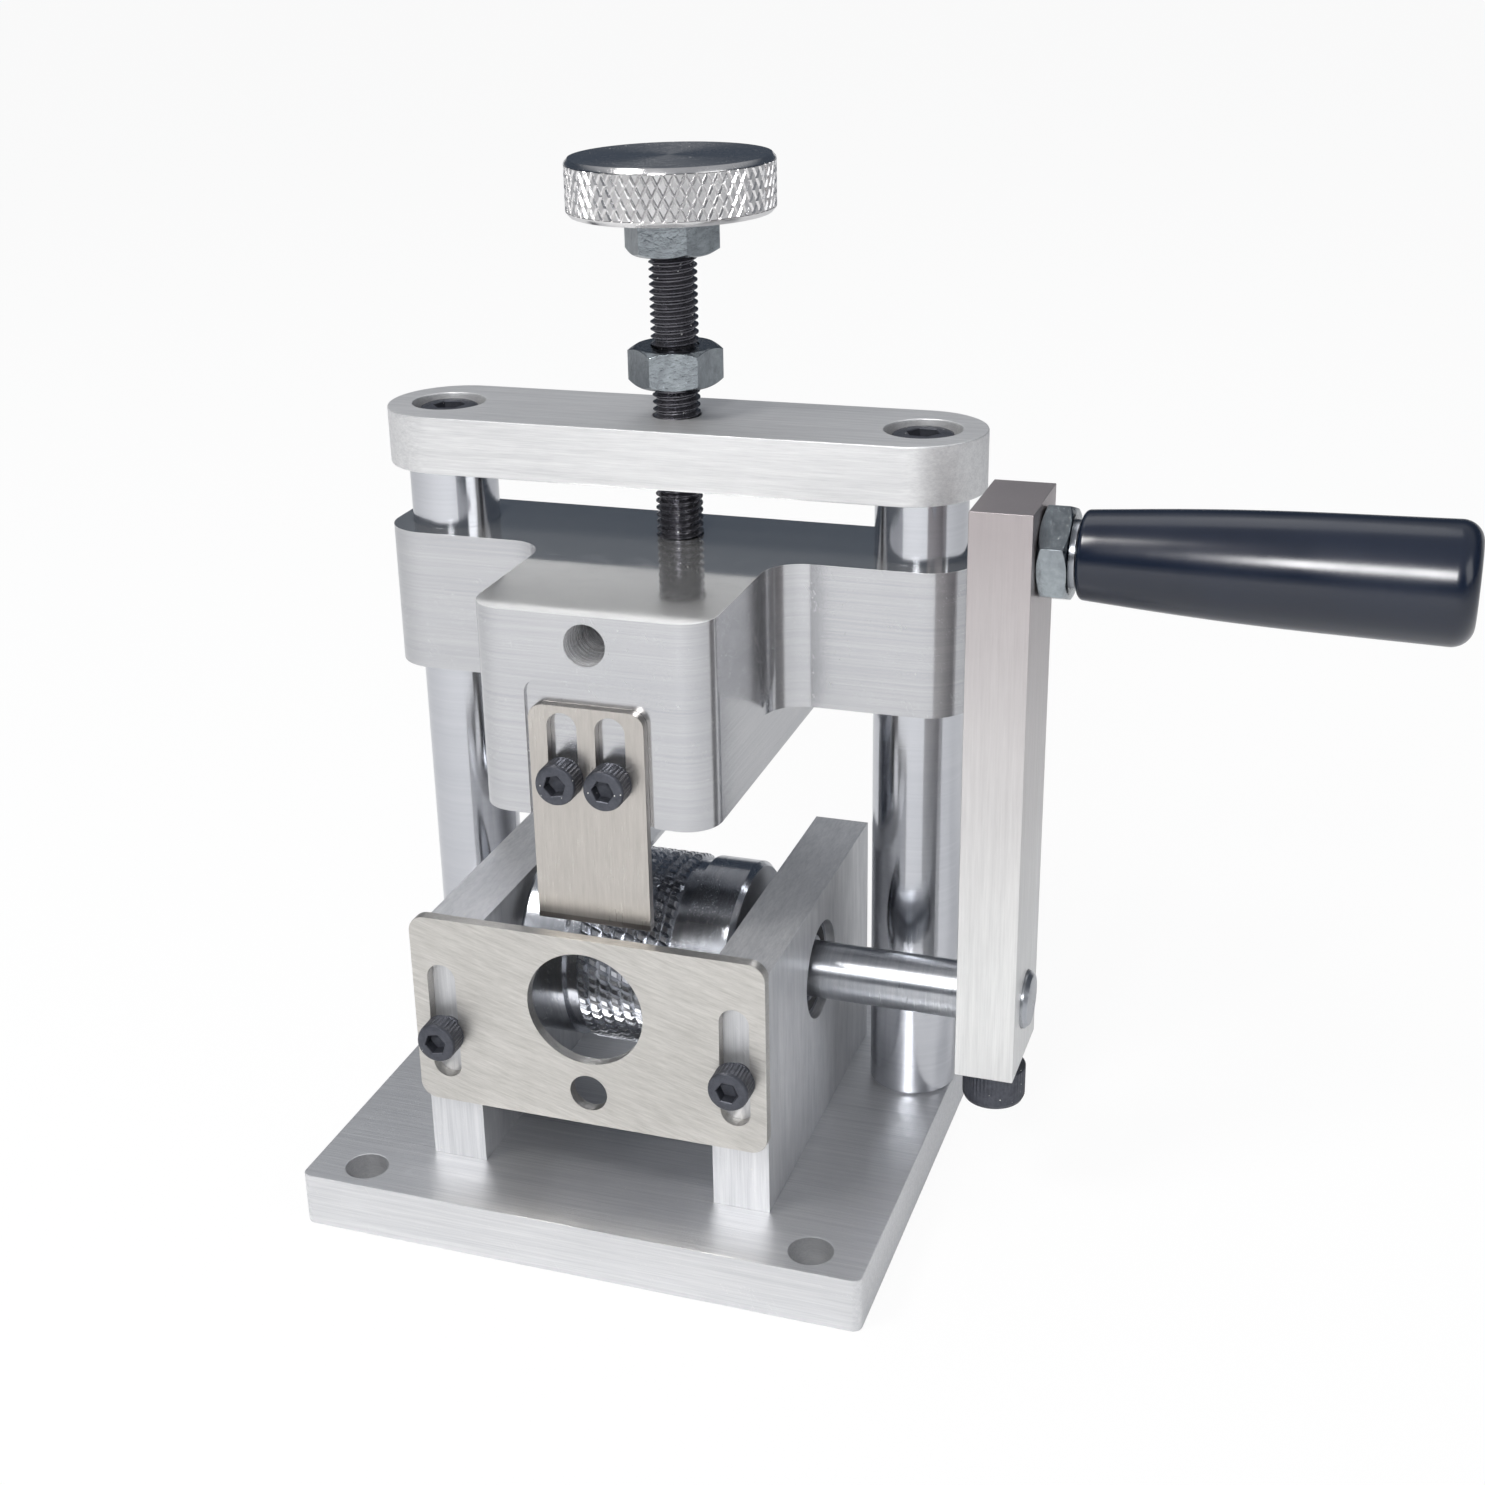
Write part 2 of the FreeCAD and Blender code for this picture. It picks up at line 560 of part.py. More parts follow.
def make_roller():
    """The driving roller: a band for the knurl, a relief each side, flanges and hubs."""
    half, band = "Places.roller_half_width", "Sizes.knurl_half_width"
    rim, hub = "Sizes.roller_diameter / 2", "Sizes.hub_diameter / 2"
    chamfer, bore = "Sizes.flange_chamfer", "Places.shaft_hole / 2"
    relief = f"{rim} - Sizes.relief_depth"
    flange = f"{band} + Sizes.relief_width"
    right = [(band, rim), (band, relief), (flange, relief), (flange, rim),
             (f"{half} - {chamfer}", rim), (half, f"{rim} - {chamfer}"), (half, hub),
             ("Places.hub_end", hub), ("Places.hub_end", bore)]
    left = [(f"-({along})", radius) for along, radius in reversed(right)]
    body = turned("Roller", "XY_Plane", "H_Axis", left + right)
    put(body, z="Sizes.axle_height")
    round_holes(body, "XY_Plane", f"-({rim})", "Places.small_tapped", rim,
                [(f"{sign} * Places.roller_half_width - {sign} * Sizes.flange_width / 2", "0")
                 for sign in SIDES.values()], True)
    return keep(body, "roller")


def make_roller_set_screws():
    length = "Sizes.roller_set_screw_length"
    low = f"Sizes.axle_height - Sizes.shaft_diameter / 2 - Sizes.thread_gap - {length}"
    return group("roller_set_screws", [
        set_screw(length, f"{sign} * (Places.roller_half_width - Sizes.flange_width / 2)", "0",
                  low, DOWNWARD)
        for sign in SIDES.values()])


def make_drive_shaft():
    start, end, chamfer = "Places.shaft_start", "Places.shaft_end", "Sizes.shaft_chamfer"
    radius = "Sizes.shaft_diameter / 2"
    body = turned("DriveShaft", "XY_Plane", "H_Axis", [
        (start, "0"), (start, f"{radius} - {chamfer}"), (f"{start} + {chamfer}", radius),
        (f"{end} - {chamfer}", radius), (end, f"{radius} - {chamfer}"), (end, "0")])
    put(body, z="Sizes.axle_height")
    sketch = make_sketch(body, "XY_Plane", "-Places.shaft_flat")
    half = "Sizes.shaft_flat_length / 2"
    draw_rectangle(sketch, f"Places.arm_middle - {half}", f"Places.arm_middle + {half}",
                   f"-{radius}", radius)
    pocket(body, sketch, "Sizes.shaft_flat_depth")
    return keep(body, "drive_shaft")


# --- inlet baffle -------------------------------------------------------------------------------

def make_inlet_baffle():
    """The slotted front plate with the cable's inlet and a smaller hole below it."""
    body = doc.addObject("PartDesign::Body", "InletBaffle")
    half, bottom = "Sizes.baffle_width / 2", "Places.baffle_bottom"
    top = f"{bottom} + Sizes.baffle_height"
    sketch = make_sketch(body, "XZ_Plane", "-Places.baffle_back")
    draw_rectangle(sketch, f"-{half}", half, bottom, top)
    pad(body, sketch, "Sizes.baffle_thickness")
    corners = [(x, z) for x in (f"-{half}", half) for z in (bottom, top)]
    round_off(body, straight_edges(body, 1, corners), "Sizes.baffle_corner_radius")
    front, depth = "-Places.baffle_front", "Sizes.baffle_thickness"
    round_holes(body, "XZ_Plane", front, "Sizes.inlet_diameter", depth,
                [("0", f"{bottom} + Sizes.inlet_rise")])
    round_holes(body, "XZ_Plane", front, "Sizes.pilot_diameter", depth,
                [("0", f"{bottom} + Sizes.pilot_rise")])
    slots = make_sketch(body, "XZ_Plane", front)
    low = f"{bottom} + Sizes.baffle_slot_rise"
    for sign in SIDES.values():
        draw_slot(slots, "Sizes.baffle_slot_width", f"{sign} * Places.side_plate_middle", low,
                  f"{low} + Sizes.baffle_slot_length")
    pocket(body, slots, depth)
    return keep(body, "inlet_baffle")


def make_baffle_screws():
    return group("baffle_screws", [
        cap_screw("small", "Sizes.baffle_screw_length",
                  f"{sign} * Places.side_plate_middle", "Places.baffle_front",
                  "Places.baffle_screw_height", FORWARD)
        for sign in SIDES.values()])


# --- guide posts and top bar --------------------------------------------------------------------

def make_guide_post(side, sign):
    """A ground post, chamfered and tapped at both ends."""
    radius, hole, chamfer = "Sizes.post_diameter / 2", "Places.large_tapped / 2", "Sizes.post_chamfer"
    length = "Sizes.post_length"
    in_base = "Sizes.base_thickness - Sizes.counterbore_depth"
    in_bar = "Sizes.bar_thickness - Sizes.counterbore_depth"
    low = f"Sizes.post_screw_length - ({in_base}) + Sizes.hole_reserve"
    high = f"{length} - (Sizes.bar_screw_length - ({in_bar}) + Sizes.hole_reserve)"
    body = turned("GuidePost", "XZ_Plane", "V_Axis", [
        ("0", low), (hole, low), (hole, "0"), (f"{radius} - {chamfer}", "0"), (radius, chamfer),
        (radius, f"{length} - {chamfer}"), (f"{radius} - {chamfer}", length), (hole, length),
        (hole, high), ("0", high)])
    put(body, f"{sign} * Sizes.post_span / 2", "Sizes.guide_setback", "Places.base_top")
    return keep(body, f"guide_post_{side}")


def make_post_screws():
    return group("post_base_screws", [
        cap_screw("large", "Sizes.post_screw_length", f"{sign} * Sizes.post_span / 2",
                  "Sizes.guide_setback", "Sizes.counterbore_depth", DOWNWARD)
        for sign in SIDES.values()])


def make_top_bar():
    """A bar with full round ends, counterbored over the posts and tapped for the screw."""
    back = "Sizes.guide_setback"
    middle = doc.addObject("Part::Box", "BarMiddle")
    bind(middle, Length="2 * Places.bar_end_centre", Width="Sizes.bar_depth",
         Height="Sizes.bar_thickness")
    put(middle, "-Places.bar_end_centre", f"{back} - Sizes.bar_depth / 2", "Places.post_top")
    ends = [cylinder("Sizes.bar_depth", "Sizes.bar_thickness",
                     f"{sign} * Places.bar_end_centre", back, "Places.post_top")
            for sign in SIDES.values()]
    holes = [cylinder("Places.screw_hole", "Sizes.bar_thickness", "0", back, "Places.post_top")]
    for sign in SIDES.values():
        x = f"{sign} * Sizes.post_span / 2"
        holes.append(cylinder("Places.large_clear", "Sizes.bar_thickness", x, back,
                              "Places.post_top"))
        holes.append(cylinder("Sizes.large_counterbore_diameter", "Sizes.counterbore_depth", x,
                              back, "Places.bar_top - Sizes.counterbore_depth"))
    return keep(combine("Part::Cut", fuse(middle, *ends), fuse(*holes)), "top_bar")


def make_top_bar_screws():
    return group("top_bar_screws", [
        cap_screw("large", "Sizes.bar_screw_length", f"{sign} * Sizes.post_span / 2",
                  "Sizes.guide_setback", "Places.bar_top - Sizes.counterbore_depth")
        for sign in SIDES.values()])


# --- carriage -----------------------------------------------------------------------------------

def make_carriage_block():
    """The block that carries the blade, with an ear each side that slides on a post."""
    body = doc.addObject("PartDesign::Body", "CarriageBlock")
    half, front, back = "Sizes.carriage_width / 2", "Places.carriage_face", "Places.ear_back_face"
    ear, ear_front = "Places.ear_end", "Places.ear_front_face"
    block = make_sketch(body, "XY_Plane", "Places.carriage_bottom")
    draw_rectangle(block, f"-{half}", half, front, back)
    pad(body, block, "Sizes.carriage_height")
    ears = make_sketch(body, "XY_Plane", "Places.ear_bottom")
    draw_rectangle(ears, f"-{ear}", ear, ear_front, back)
    pad(body, ears, "Sizes.ear_height")
    round_off(body, straight_edges(body, 2, [(f"-{half}", front), (half, front)]),
              "Sizes.carriage_corner_radius")
    round_off(body, straight_edges(body, 2, [(x, y) for x in (f"-{ear}", ear)
                                             for y in (ear_front, back)]),
              "Sizes.ear_corner_radius")
    round_off(body, straight_edges(body, 2, [(f"-{half}", ear_front), (half, ear_front)]),
              "Sizes.ear_blend_radius")
    bore_carriage(body)
    cut_plate_recess(body)
    cut_blade_seat(body)
    return keep(body, "carriage_block")


def bore_carriage(body):
    """Bores for the posts, the adjusting screw, its retainer and the plate's screws."""
    back, top = "Sizes.guide_setback", "Places.carriage_top"
    round_holes(body, "XY_Plane", top, "Sizes.post_diameter + 2 * Sizes.running_gap",
                "Sizes.ear_height",
                [(f"{sign} * Sizes.post_span / 2", back) for sign in SIDES.values()])
    round_holes(body, "XY_Plane", top, "Places.screw_hole",
                "Sizes.screw_seat_depth + Sizes.hole_reserve", [("0", back)])
    face = "-Places.carriage_face"
    round_holes(body, "XZ_Plane", face, "Sizes.front_hole_diameter", f"{face} + {back}",
                [("0", "Places.front_hole_height")])
    round_holes(body, "XZ_Plane", face, "Places.small_tapped",
                "Sizes.restrictor_screw_length + Sizes.hole_reserve",
                [(f"{sign} * Sizes.restrictor_slot_spacing / 2", "Places.restrictor_screw_height")
                 for sign in SIDES.values()])


def cut_plate_recess(body):
    """A shallow recess in the front face, open below, for the restricting plate."""
    half, high = "Sizes.recess_width / 2", "Places.carriage_top - Sizes.recess_drop"
    sketch = make_sketch(body, "XZ_Plane", "-Places.carriage_face")
    draw_rectangle(sketch, f"-{half}", half, "Places.carriage_bottom", high)
    pocket(body, sketch, "Sizes.recess_depth")
    round_off(body, straight_edges(body, 1, [(f"-{half}", high), (half, high)]),
              "Sizes.recess_corner_radius")


def cut_blade_seat(body):
    """The slot in the underside for the blade, and the tapped holes of its clamp screws."""
    half, gap = "Sizes.blade_thickness / 2", "Sizes.sliding_gap"
    sketch = make_sketch(body, "XY_Plane", "Places.carriage_bottom")
    draw_rectangle(sketch, f"-{half} - {gap}", f"{half} + {gap}",
                   f"-Sizes.blade_front - {gap}",
                   f"Sizes.blade_length - Sizes.blade_front + {gap}")
    pocket(body, sketch, "Sizes.blade_seat", True)
    round_holes(body, "YZ_Plane", "-Sizes.carriage_width / 2", "Places.small_tapped",
                f"Sizes.carriage_width / 2 - {half}", blade_screw_spots(), True)


def blade_screw_spots():
    """Where the blade's clamp screws stand on the block's left face, as (y, z) formulas."""
    height = "Places.carriage_bottom + Sizes.blade_screw_rise"
    return [(f"Places.blade_middle + {end} * Sizes.blade_screw_span / 2", height)
            for end in ("-1", "1")]


def make_blade():
    """A flat blade with its cutting edge along Y, bevelled on both sides."""
    body = doc.addObject("PartDesign::Body", "Blade")
    half, edge = "Sizes.blade_thickness / 2", "Sizes.blade_edge_width / 2"
    low, shoulder = "Places.blade_edge", "Places.blade_edge + Sizes.blade_bevel"
    high = "Places.carriage_bottom + Sizes.blade_seat - Sizes.sliding_gap"
    sketch = make_sketch(body, "XZ_Plane", "Sizes.blade_front")
    draw_outline(sketch, [(f"-{edge}", low), (edge, low), (half, shoulder), (half, high),
                          (f"-{half}", high), (f"-{half}", shoulder)])
    pad(body, sketch, "Sizes.blade_length", True)
    return keep(body, "blade")


def make_blade_clamp_screws():
    length = "Sizes.blade_screw_length"
    start = f"-(Sizes.blade_thickness / 2 + Sizes.sliding_gap + {length})"
    return group("blade_clamp_screws", [
        set_screw(length, start, y, z, LEFTWARD) for y, z in blade_screw_spots()])


def make_screw_retainer():
    """A headless screw behind the front hole; its tip runs in the adjusting screw's neck."""
    tip_end, length = "Places.retainer_tip_end", "Sizes.retainer_length"
    core = cylinder("Sizes.front_hole_diameter - 2 * Sizes.thread_gap", length,
                    z=f"-({length})")
    tip_length = "Sizes.retainer_tip_length"
    tip = cylinder("Sizes.retainer_tip_diameter", tip_length, z=f"-({length} + {tip_length})")
    depth = "Sizes.set_screw_socket_depth"
    socket = hexagon("Sizes.retainer_socket", depth, z=f"-({depth})")
    screw = combine("Part::Cut", fuse(core, tip), socket)
    put(screw, "0", f"{tip_end} - {tip_length} - {length}", "Places.front_hole_height", FORWARD)
    return keep(screw, "screw_retainer")


def make_restricting_plate():
    """The plate in front of the roller that keeps the cable in line, on two open slots."""
    body = doc.addObject("PartDesign::Body", "RestrictingPlate")
    half, low, high = "Sizes.restrictor_width / 2", "Places.restrictor_bottom", "Places.restrictor_top"
    sketch = make_sketch(body, "XZ_Plane", "-Places.restrictor_back")
    draw_rectangle(sketch, f"-{half}", half, low, high)
    pad(body, sketch, "Sizes.restrictor_thickness")
    round_off(body, straight_edges(body, 1, [(f"-{half}", high), (half, high)]),
              "Sizes.restrictor_corner_radius")
    slots = make_sketch(body, "XZ_Plane", "-Places.restrictor_front")
    slot_top = f"{high} - Sizes.restrictor_slot_drop"
    for sign in SIDES.values():
        draw_slot(slots, "Sizes.restrictor_slot_width",
                  f"{sign} * Sizes.restrictor_slot_spacing / 2",
                  f"{slot_top} - Sizes.restrictor_slot_length", slot_top)
    pocket(body, slots, "Sizes.restrictor_thickness")
    return keep(body, "restricting_plate")


def make_restricting_plate_screws():
    return group("restricting_plate_screws", [
        cap_screw("small", "Sizes.restrictor_screw_length",
                  f"{sign} * Sizes.restrictor_slot_spacing / 2", "Places.restrictor_front",
                  "Places.restrictor_screw_height", FORWARD)
        for sign in SIDES.values()])


# --- adjusting screw, nuts and knob -------------------------------------------------------------

def make_adjusting_screw():
    """The long screw, with a neck near its lower end for the retainer."""
    radius, chamfer = "Sizes.screw_diameter / 2", "Sizes.screw_chamfer"
    neck, half_neck = "Sizes.screw_neck_diameter / 2", "Sizes.screw_neck_width / 2"
    tip, top, middle = "Places.screw_tip", "Places.screw_top", "Places.front_hole_height"
    body = turned("AdjustingScrew", "XZ_Plane", "V_Axis", [
        ("0", tip), (f"{radius} - {chamfer}", tip), (radius, f"{tip} + {chamfer}"),
        (radius, f"{middle} - {half_neck}"), (neck, f"{middle} - {half_neck}"),
        (neck, f"{middle} + {half_neck}"), (radius, f"{middle} + {half_neck}"),
        (radius, f"{top} - {chamfer}"), (f"{radius} - {chamfer}", top), ("0", top)])
    return keep(put(body, y="Sizes.guide_setback"), "adjusting_screw")


def make_knob():
    """A flat knob, threaded from below."""
    radius, chamfer, bore = "Sizes.knob_diameter / 2", "Sizes.knob_chamfer", "Places.screw_hole / 2"
    low, high = "Places.knob_bottom", "Places.knob_top"
    blind = "Places.screw_top + Sizes.running_gap"
    body = turned("Knob", "XZ_Plane", "V_Axis", [
        ("0", blind), (bore, blind), (bore, low), (f"{radius} - {chamfer}", low),
        (radius, f"{low} + {chamfer}"), (radius, f"{high} - {chamfer}"),
        (f"{radius} - {chamfer}", high), ("0", high)])
    return keep(put(body, y="Sizes.guide_setback"), "knob")


def make_screw_nuts():
    back = "Sizes.guide_setback"
    hex_nut("lock_nut", "Sizes.nut_height", "0", back, "Places.lock_nut_bottom",
            Rotation(UP, value("Sizes.lock_nut_turn")))
    hex_nut("jam_nut", "Sizes.nut_height", "0", back, "Places.jam_nut_bottom",
            Rotation(UP, value("Sizes.jam_nut_turn")))


# --- crank and grip -----------------------------------------------------------------------------

def make_crank_arm():
    """A straight arm: bored for the shaft, tapped for its clamp screw and for the handle's stud."""
    body = doc.addObject("PartDesign::Body", "CrankArm")
    half, low, high = "Sizes.arm_width / 2", "Places.arm_bottom", "Places.arm_top"
    sketch = make_sketch(body, "YZ_Plane", "Places.arm_inner")
    draw_rectangle(sketch, f"-{half}", half, low, high)
    pad(body, sketch, "Sizes.arm_thickness")
    outer, depth = "Places.arm_outer", "Sizes.arm_thickness"
    round_holes(body, "YZ_Plane", outer, "Places.shaft_hole", depth, [("0", "Sizes.axle_height")])
    round_holes(body, "YZ_Plane", outer, "Places.screw_hole", depth, [("0", "Places.handle_height")])
    round_holes(body, "XY_Plane", low, "Places.large_tapped", "Sizes.arm_bottom_margin",
                [("Places.arm_middle", "0")], True)
    return keep(body, "crank_arm")


def make_crank_clamp_screw():
    gap = "Sizes.clamp_screw_gap"
    length = f"({gap} + Sizes.arm_bottom_margin - Places.shaft_flat - Sizes.thread_gap)"
    screw = cap_screw("large", length, "Places.arm_middle", "0", f"Places.arm_bottom - {gap}",
                      DOWNWARD)
    return keep(screw, "crank_clamp_screw")


def make_handle_stud():
    """The grip's spindle: threaded into the arm, with a collar and a groove for its ring."""
    thread, collar, spindle = ("Sizes.screw_diameter / 2", "Sizes.stud_collar_diameter / 2",
                               "Sizes.spindle_diameter / 2")
    groove, gap = "Places.ring_groove / 2", "Sizes.ring_gap"
    start, end = "Places.arm_inner + Sizes.stud_inset", "Places.spindle_end"
    groove_start = f"Places.ring_start - {gap}"
    groove_end = f"Places.ring_start + Sizes.ring_thickness + {gap}"
    body = turned("HandleStud", "XY_Plane", "H_Axis", [
        (start, "0"), (start, thread), ("Places.collar_start", thread),
        ("Places.collar_start", collar), ("Places.spindle_start", collar),
        ("Places.spindle_start", spindle), (groove_start, spindle), (groove_start, groove),
        (groove_end, groove), (groove_end, spindle), (end, spindle), (end, "0")])
    return keep(put(body, z="Places.handle_height"), "handle_stud")


def make_handle_nut():
    facing = RIGHTWARD.multiply(Rotation(UP, value("Sizes.handle_nut_turn")))
    hex_nut("handle_nut", "Sizes.thin_nut_height", "Places.arm_outer", "0",
            "Places.handle_height", facing)


def make_grip_ring():
    """The ring that holds the grip on its spindle."""
    inner = "Places.ring_groove + 2 * Sizes.ring_gap"
    return keep(ring("Sizes.ring_outer_diameter", inner, "Sizes.ring_thickness",
                     "Places.ring_start", "Places.handle_height"), "grip_ring")


def make_grip():
    """The tapered grip: a bore for the spindle and a wider chamber round its ring."""
    bore, chamber = "Places.spindle_hole / 2", "Sizes.grip_chamber_diameter / 2"
    start, end = "Places.grip_start", "Places.grip_end"
    first, swell, last = ("Sizes.grip_start_diameter / 2", "Sizes.grip_swell_diameter / 2",
                          "Sizes.grip_end_diameter / 2")
    body = turned("Grip", "XY_Plane", "H_Axis", [
        (start, bore), (start, first), (f"{start} + Sizes.grip_swell_length", swell),
        (end, last), (end, "0"), ("Places.chamber_end", "0"), ("Places.chamber_end", chamber),
        ("Places.chamber_start", chamber), ("Places.chamber_start", bore)])
    round_off(body, ring_edges(body, end, last), "Sizes.grip_end_radius")
    round_off(body, ring_edges(body, start, first), "Sizes.grip_start_radius")
    return keep(put(body, z="Places.handle_height"), "grip")


# --- the whole tool -----------------------------------------------------------------------------

def make_frame():
    make_base_plate()
    for side, sign in SIDES.items():
        make_side_plate(side, sign)
        make_bearing(side, sign)
        make_guide_post(side, sign)
    make_side_plate_screws()
    make_post_screws()
    make_top_bar()
    make_top_bar_screws()
    make_inlet_baffle()
    make_baffle_screws()


def make_carriage():
    make_carriage_block()
    make_blade()
    make_blade_clamp_screws()
    make_screw_retainer()
    make_restricting_plate()
    make_restricting_plate_screws()
    make_adjusting_screw()
    make_screw_nuts()
    make_knob()


def make_crank():
    make_roller()
    make_roller_set_screws()
    make_drive_shaft()
    make_crank_arm()
    make_crank_clamp_screw()
    make_handle_stud()
    make_handle_nut()
    make_grip_ring()
    make_grip()


def check_document():
    """Stop before the export if anything failed to recompute or is not a valid solid."""
    for obj in doc.Objects:
        if {"Invalid", "Error"} & set(obj.State):
            raise RuntimeError(f"{obj.Name} failed: {obj.State}")
    for piece in parts:
        if piece.Shape.isNull() or not piece.Shape.isValid():
            raise RuntimeError(f"{piece.Label} has no valid shape")


make_frame()
make_carriage()
make_crank()
doc.recompute()
check_document()
os.makedirs("parts", exist_ok=True)
for piece in parts:
    piece.Shape.exportStep(f"parts/{piece.Label}.step")
    box = piece.Shape.BoundBox
    print(f"{piece.Label}: {len(piece.Shape.Solids)} solid(s), {piece.Shape.Volume:.1f} mm3, "
          f"z {box.ZMin:.2f} to {box.ZMax:.2f}")
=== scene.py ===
# %% [markdown]
# # Hand crank wire stripper: its looks
#
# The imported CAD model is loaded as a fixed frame. Every piece made below stands for one of its
# nodes, in the same place, and rides on the same body. Sizes are in millimetres, times `MM`.

# %% Frame
import json
import math

import bmesh
import bpy
from mathutils import Matrix, Vector

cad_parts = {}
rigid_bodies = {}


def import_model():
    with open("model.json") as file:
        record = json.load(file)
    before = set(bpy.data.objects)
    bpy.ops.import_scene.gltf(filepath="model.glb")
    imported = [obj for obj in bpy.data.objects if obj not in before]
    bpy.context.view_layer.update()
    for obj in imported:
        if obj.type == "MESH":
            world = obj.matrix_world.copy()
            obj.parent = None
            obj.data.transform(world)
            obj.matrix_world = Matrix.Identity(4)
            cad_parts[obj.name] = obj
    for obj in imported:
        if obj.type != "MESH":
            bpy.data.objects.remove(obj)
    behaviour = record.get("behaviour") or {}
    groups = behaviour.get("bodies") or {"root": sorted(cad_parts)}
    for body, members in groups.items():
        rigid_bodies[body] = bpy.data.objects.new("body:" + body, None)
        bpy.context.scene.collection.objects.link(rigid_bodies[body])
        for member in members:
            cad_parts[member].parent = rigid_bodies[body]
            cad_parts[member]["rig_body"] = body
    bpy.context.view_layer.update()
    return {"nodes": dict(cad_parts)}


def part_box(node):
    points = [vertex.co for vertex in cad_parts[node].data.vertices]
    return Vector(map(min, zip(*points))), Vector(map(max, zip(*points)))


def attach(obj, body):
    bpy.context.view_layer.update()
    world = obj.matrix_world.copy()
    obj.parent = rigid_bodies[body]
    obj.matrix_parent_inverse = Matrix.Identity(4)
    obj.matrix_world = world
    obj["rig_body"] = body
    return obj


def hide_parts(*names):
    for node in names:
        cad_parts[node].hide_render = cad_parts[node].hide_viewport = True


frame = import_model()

MM = 0.001
SEED = 7
nodes = frame["nodes"]

# %% [markdown]
# ## Tools for node trees
#
# A tree is written as nodes with their inputs: a socket is linked, anything else is a value. The
# four sums have short names, because a formula in nodes is long enough as it is.

# %% Node tree tools
def add(tree, kind, values=None, **settings):
    """A new node, with its settings and its inputs by name or number."""
    made = tree.nodes.new(kind)
    for key, setting in settings.items():
        setattr(made, key, setting)
    for key, given in (values or {}).items():
        if isinstance(given, bpy.types.NodeSocket):
            tree.links.new(given, made.inputs[key])
        else:
            made.inputs[key].default_value = given
    return made


def math_node(tree, operation, *given):
    return add(tree, "ShaderNodeMath", dict(enumerate(given)), operation=operation).outputs[0]


def plus(tree, first, second):
    return math_node(tree, "ADD", first, second)


def minus(tree, first, second):
    return math_node(tree, "SUBTRACT", first, second)


def times(tree, first, second):
    return math_node(tree, "MULTIPLY", first, second)


def over(tree, first, second):
    return math_node(tree, "DIVIDE", first, second)


def vector_math(tree, operation, *given):
    made = add(tree, "ShaderNodeVectorMath", dict(enumerate(given)), operation=operation)
    return made.outputs["Value" if operation == "LENGTH" else "Vector"]


def remap(tree, given, low, high, to_low=0.0, to_high=1.0):
    return add(tree, "ShaderNodeMapRange", {
        "Value": given, "From Min": low, "From Max": high, "To Min": to_low, "To Max": to_high,
    }).outputs["Result"]


def blend_colour(tree, share, first, second):
    return add(tree, "ShaderNodeMix", {0: share, 6: first, 7: second},
               data_type="RGBA").outputs[2]


def shader_group(name, inputs, outputs):
    """A group with its sockets, its input node's outputs and its output node."""
    tree = bpy.data.node_groups.new(name, "ShaderNodeTree")
    for label, kind, start in inputs:
        socket = tree.interface.new_socket(name=label, in_out="INPUT", socket_type=kind)
        socket.default_value = start
    for label, kind in outputs:
        tree.interface.new_socket(name=label, in_out="OUTPUT", socket_type=kind)
    entry, end = tree.nodes.new("NodeGroupInput"), tree.nodes.new("NodeGroupOutput")
    return tree, entry.outputs, end


def object_place(tree):
    return tree.nodes.new("ShaderNodeTexCoord").outputs["Object"]


def object_height(tree):
    return add(tree, "ShaderNodeSeparateXYZ", {0: object_place(tree)}).outputs["Z"]


# %% [markdown]
# ## Shared effects
#
# Tool marks, stray scratches, patches and dust are the same few patterns on every metal. Each is
# a group that gives a height or a mask from 0 to 1. One pattern per material would be longer and
# would drift apart.

# %% Grain: lines drawn out along one direction
# Noise hardly leaves the range from LOW to HIGH, which is drawn out to 0 and 1.
LOW, HIGH = 0.32, 0.68


def make_grain():
    """Noise stretched by a scale for each axis, turned about Y first; Broad is in wider lines."""
    sway_scale, broad_scale = 45.0, 0.33
    tree, given, end = shader_group("Grain", [
        ("Scale", "NodeSocketVector", (100.0, 3000.0, 3000.0)),
        ("Turn", "NodeSocketVector", (0.0, 0.0, 0.0)),
        ("Waver", "NodeSocketFloat", 0.0),
    ], [("Height", "NodeSocketFloat"), ("Broad", "NodeSocketFloat")])
    turned = add(tree, "ShaderNodeMapping", {"Vector": object_place(tree),
                                             "Rotation": given["Turn"]}).outputs[0]
    sway = add(tree, "ShaderNodeTexNoise", {"Vector": turned, "Scale": sway_scale,
                                            "Detail": 1.0})
    offset = vector_math(tree, "SCALE", sway.outputs["Color"])
    tree.links.new(given["Waver"], offset.node.inputs["Scale"])
    moved = vector_math(tree, "ADD", turned, offset)
    stretched = vector_math(tree, "MULTIPLY", moved, given["Scale"])
    fine = add(tree, "ShaderNodeTexNoise", {"Vector": stretched, "Scale": 1.0, "Detail": 5.0,
                                            "Roughness": 0.7})
    broad = add(tree, "ShaderNodeTexNoise", {"Vector": stretched, "Scale": broad_scale,
                                             "Detail": 3.0, "Roughness": 0.65})
    tree.links.new(remap(tree, fine.outputs[0], LOW, HIGH), end.inputs["Height"])
    tree.links.new(remap(tree, broad.outputs[0], LOW, HIGH), end.inputs["Broad"])
    return tree


GRAIN = make_grain()


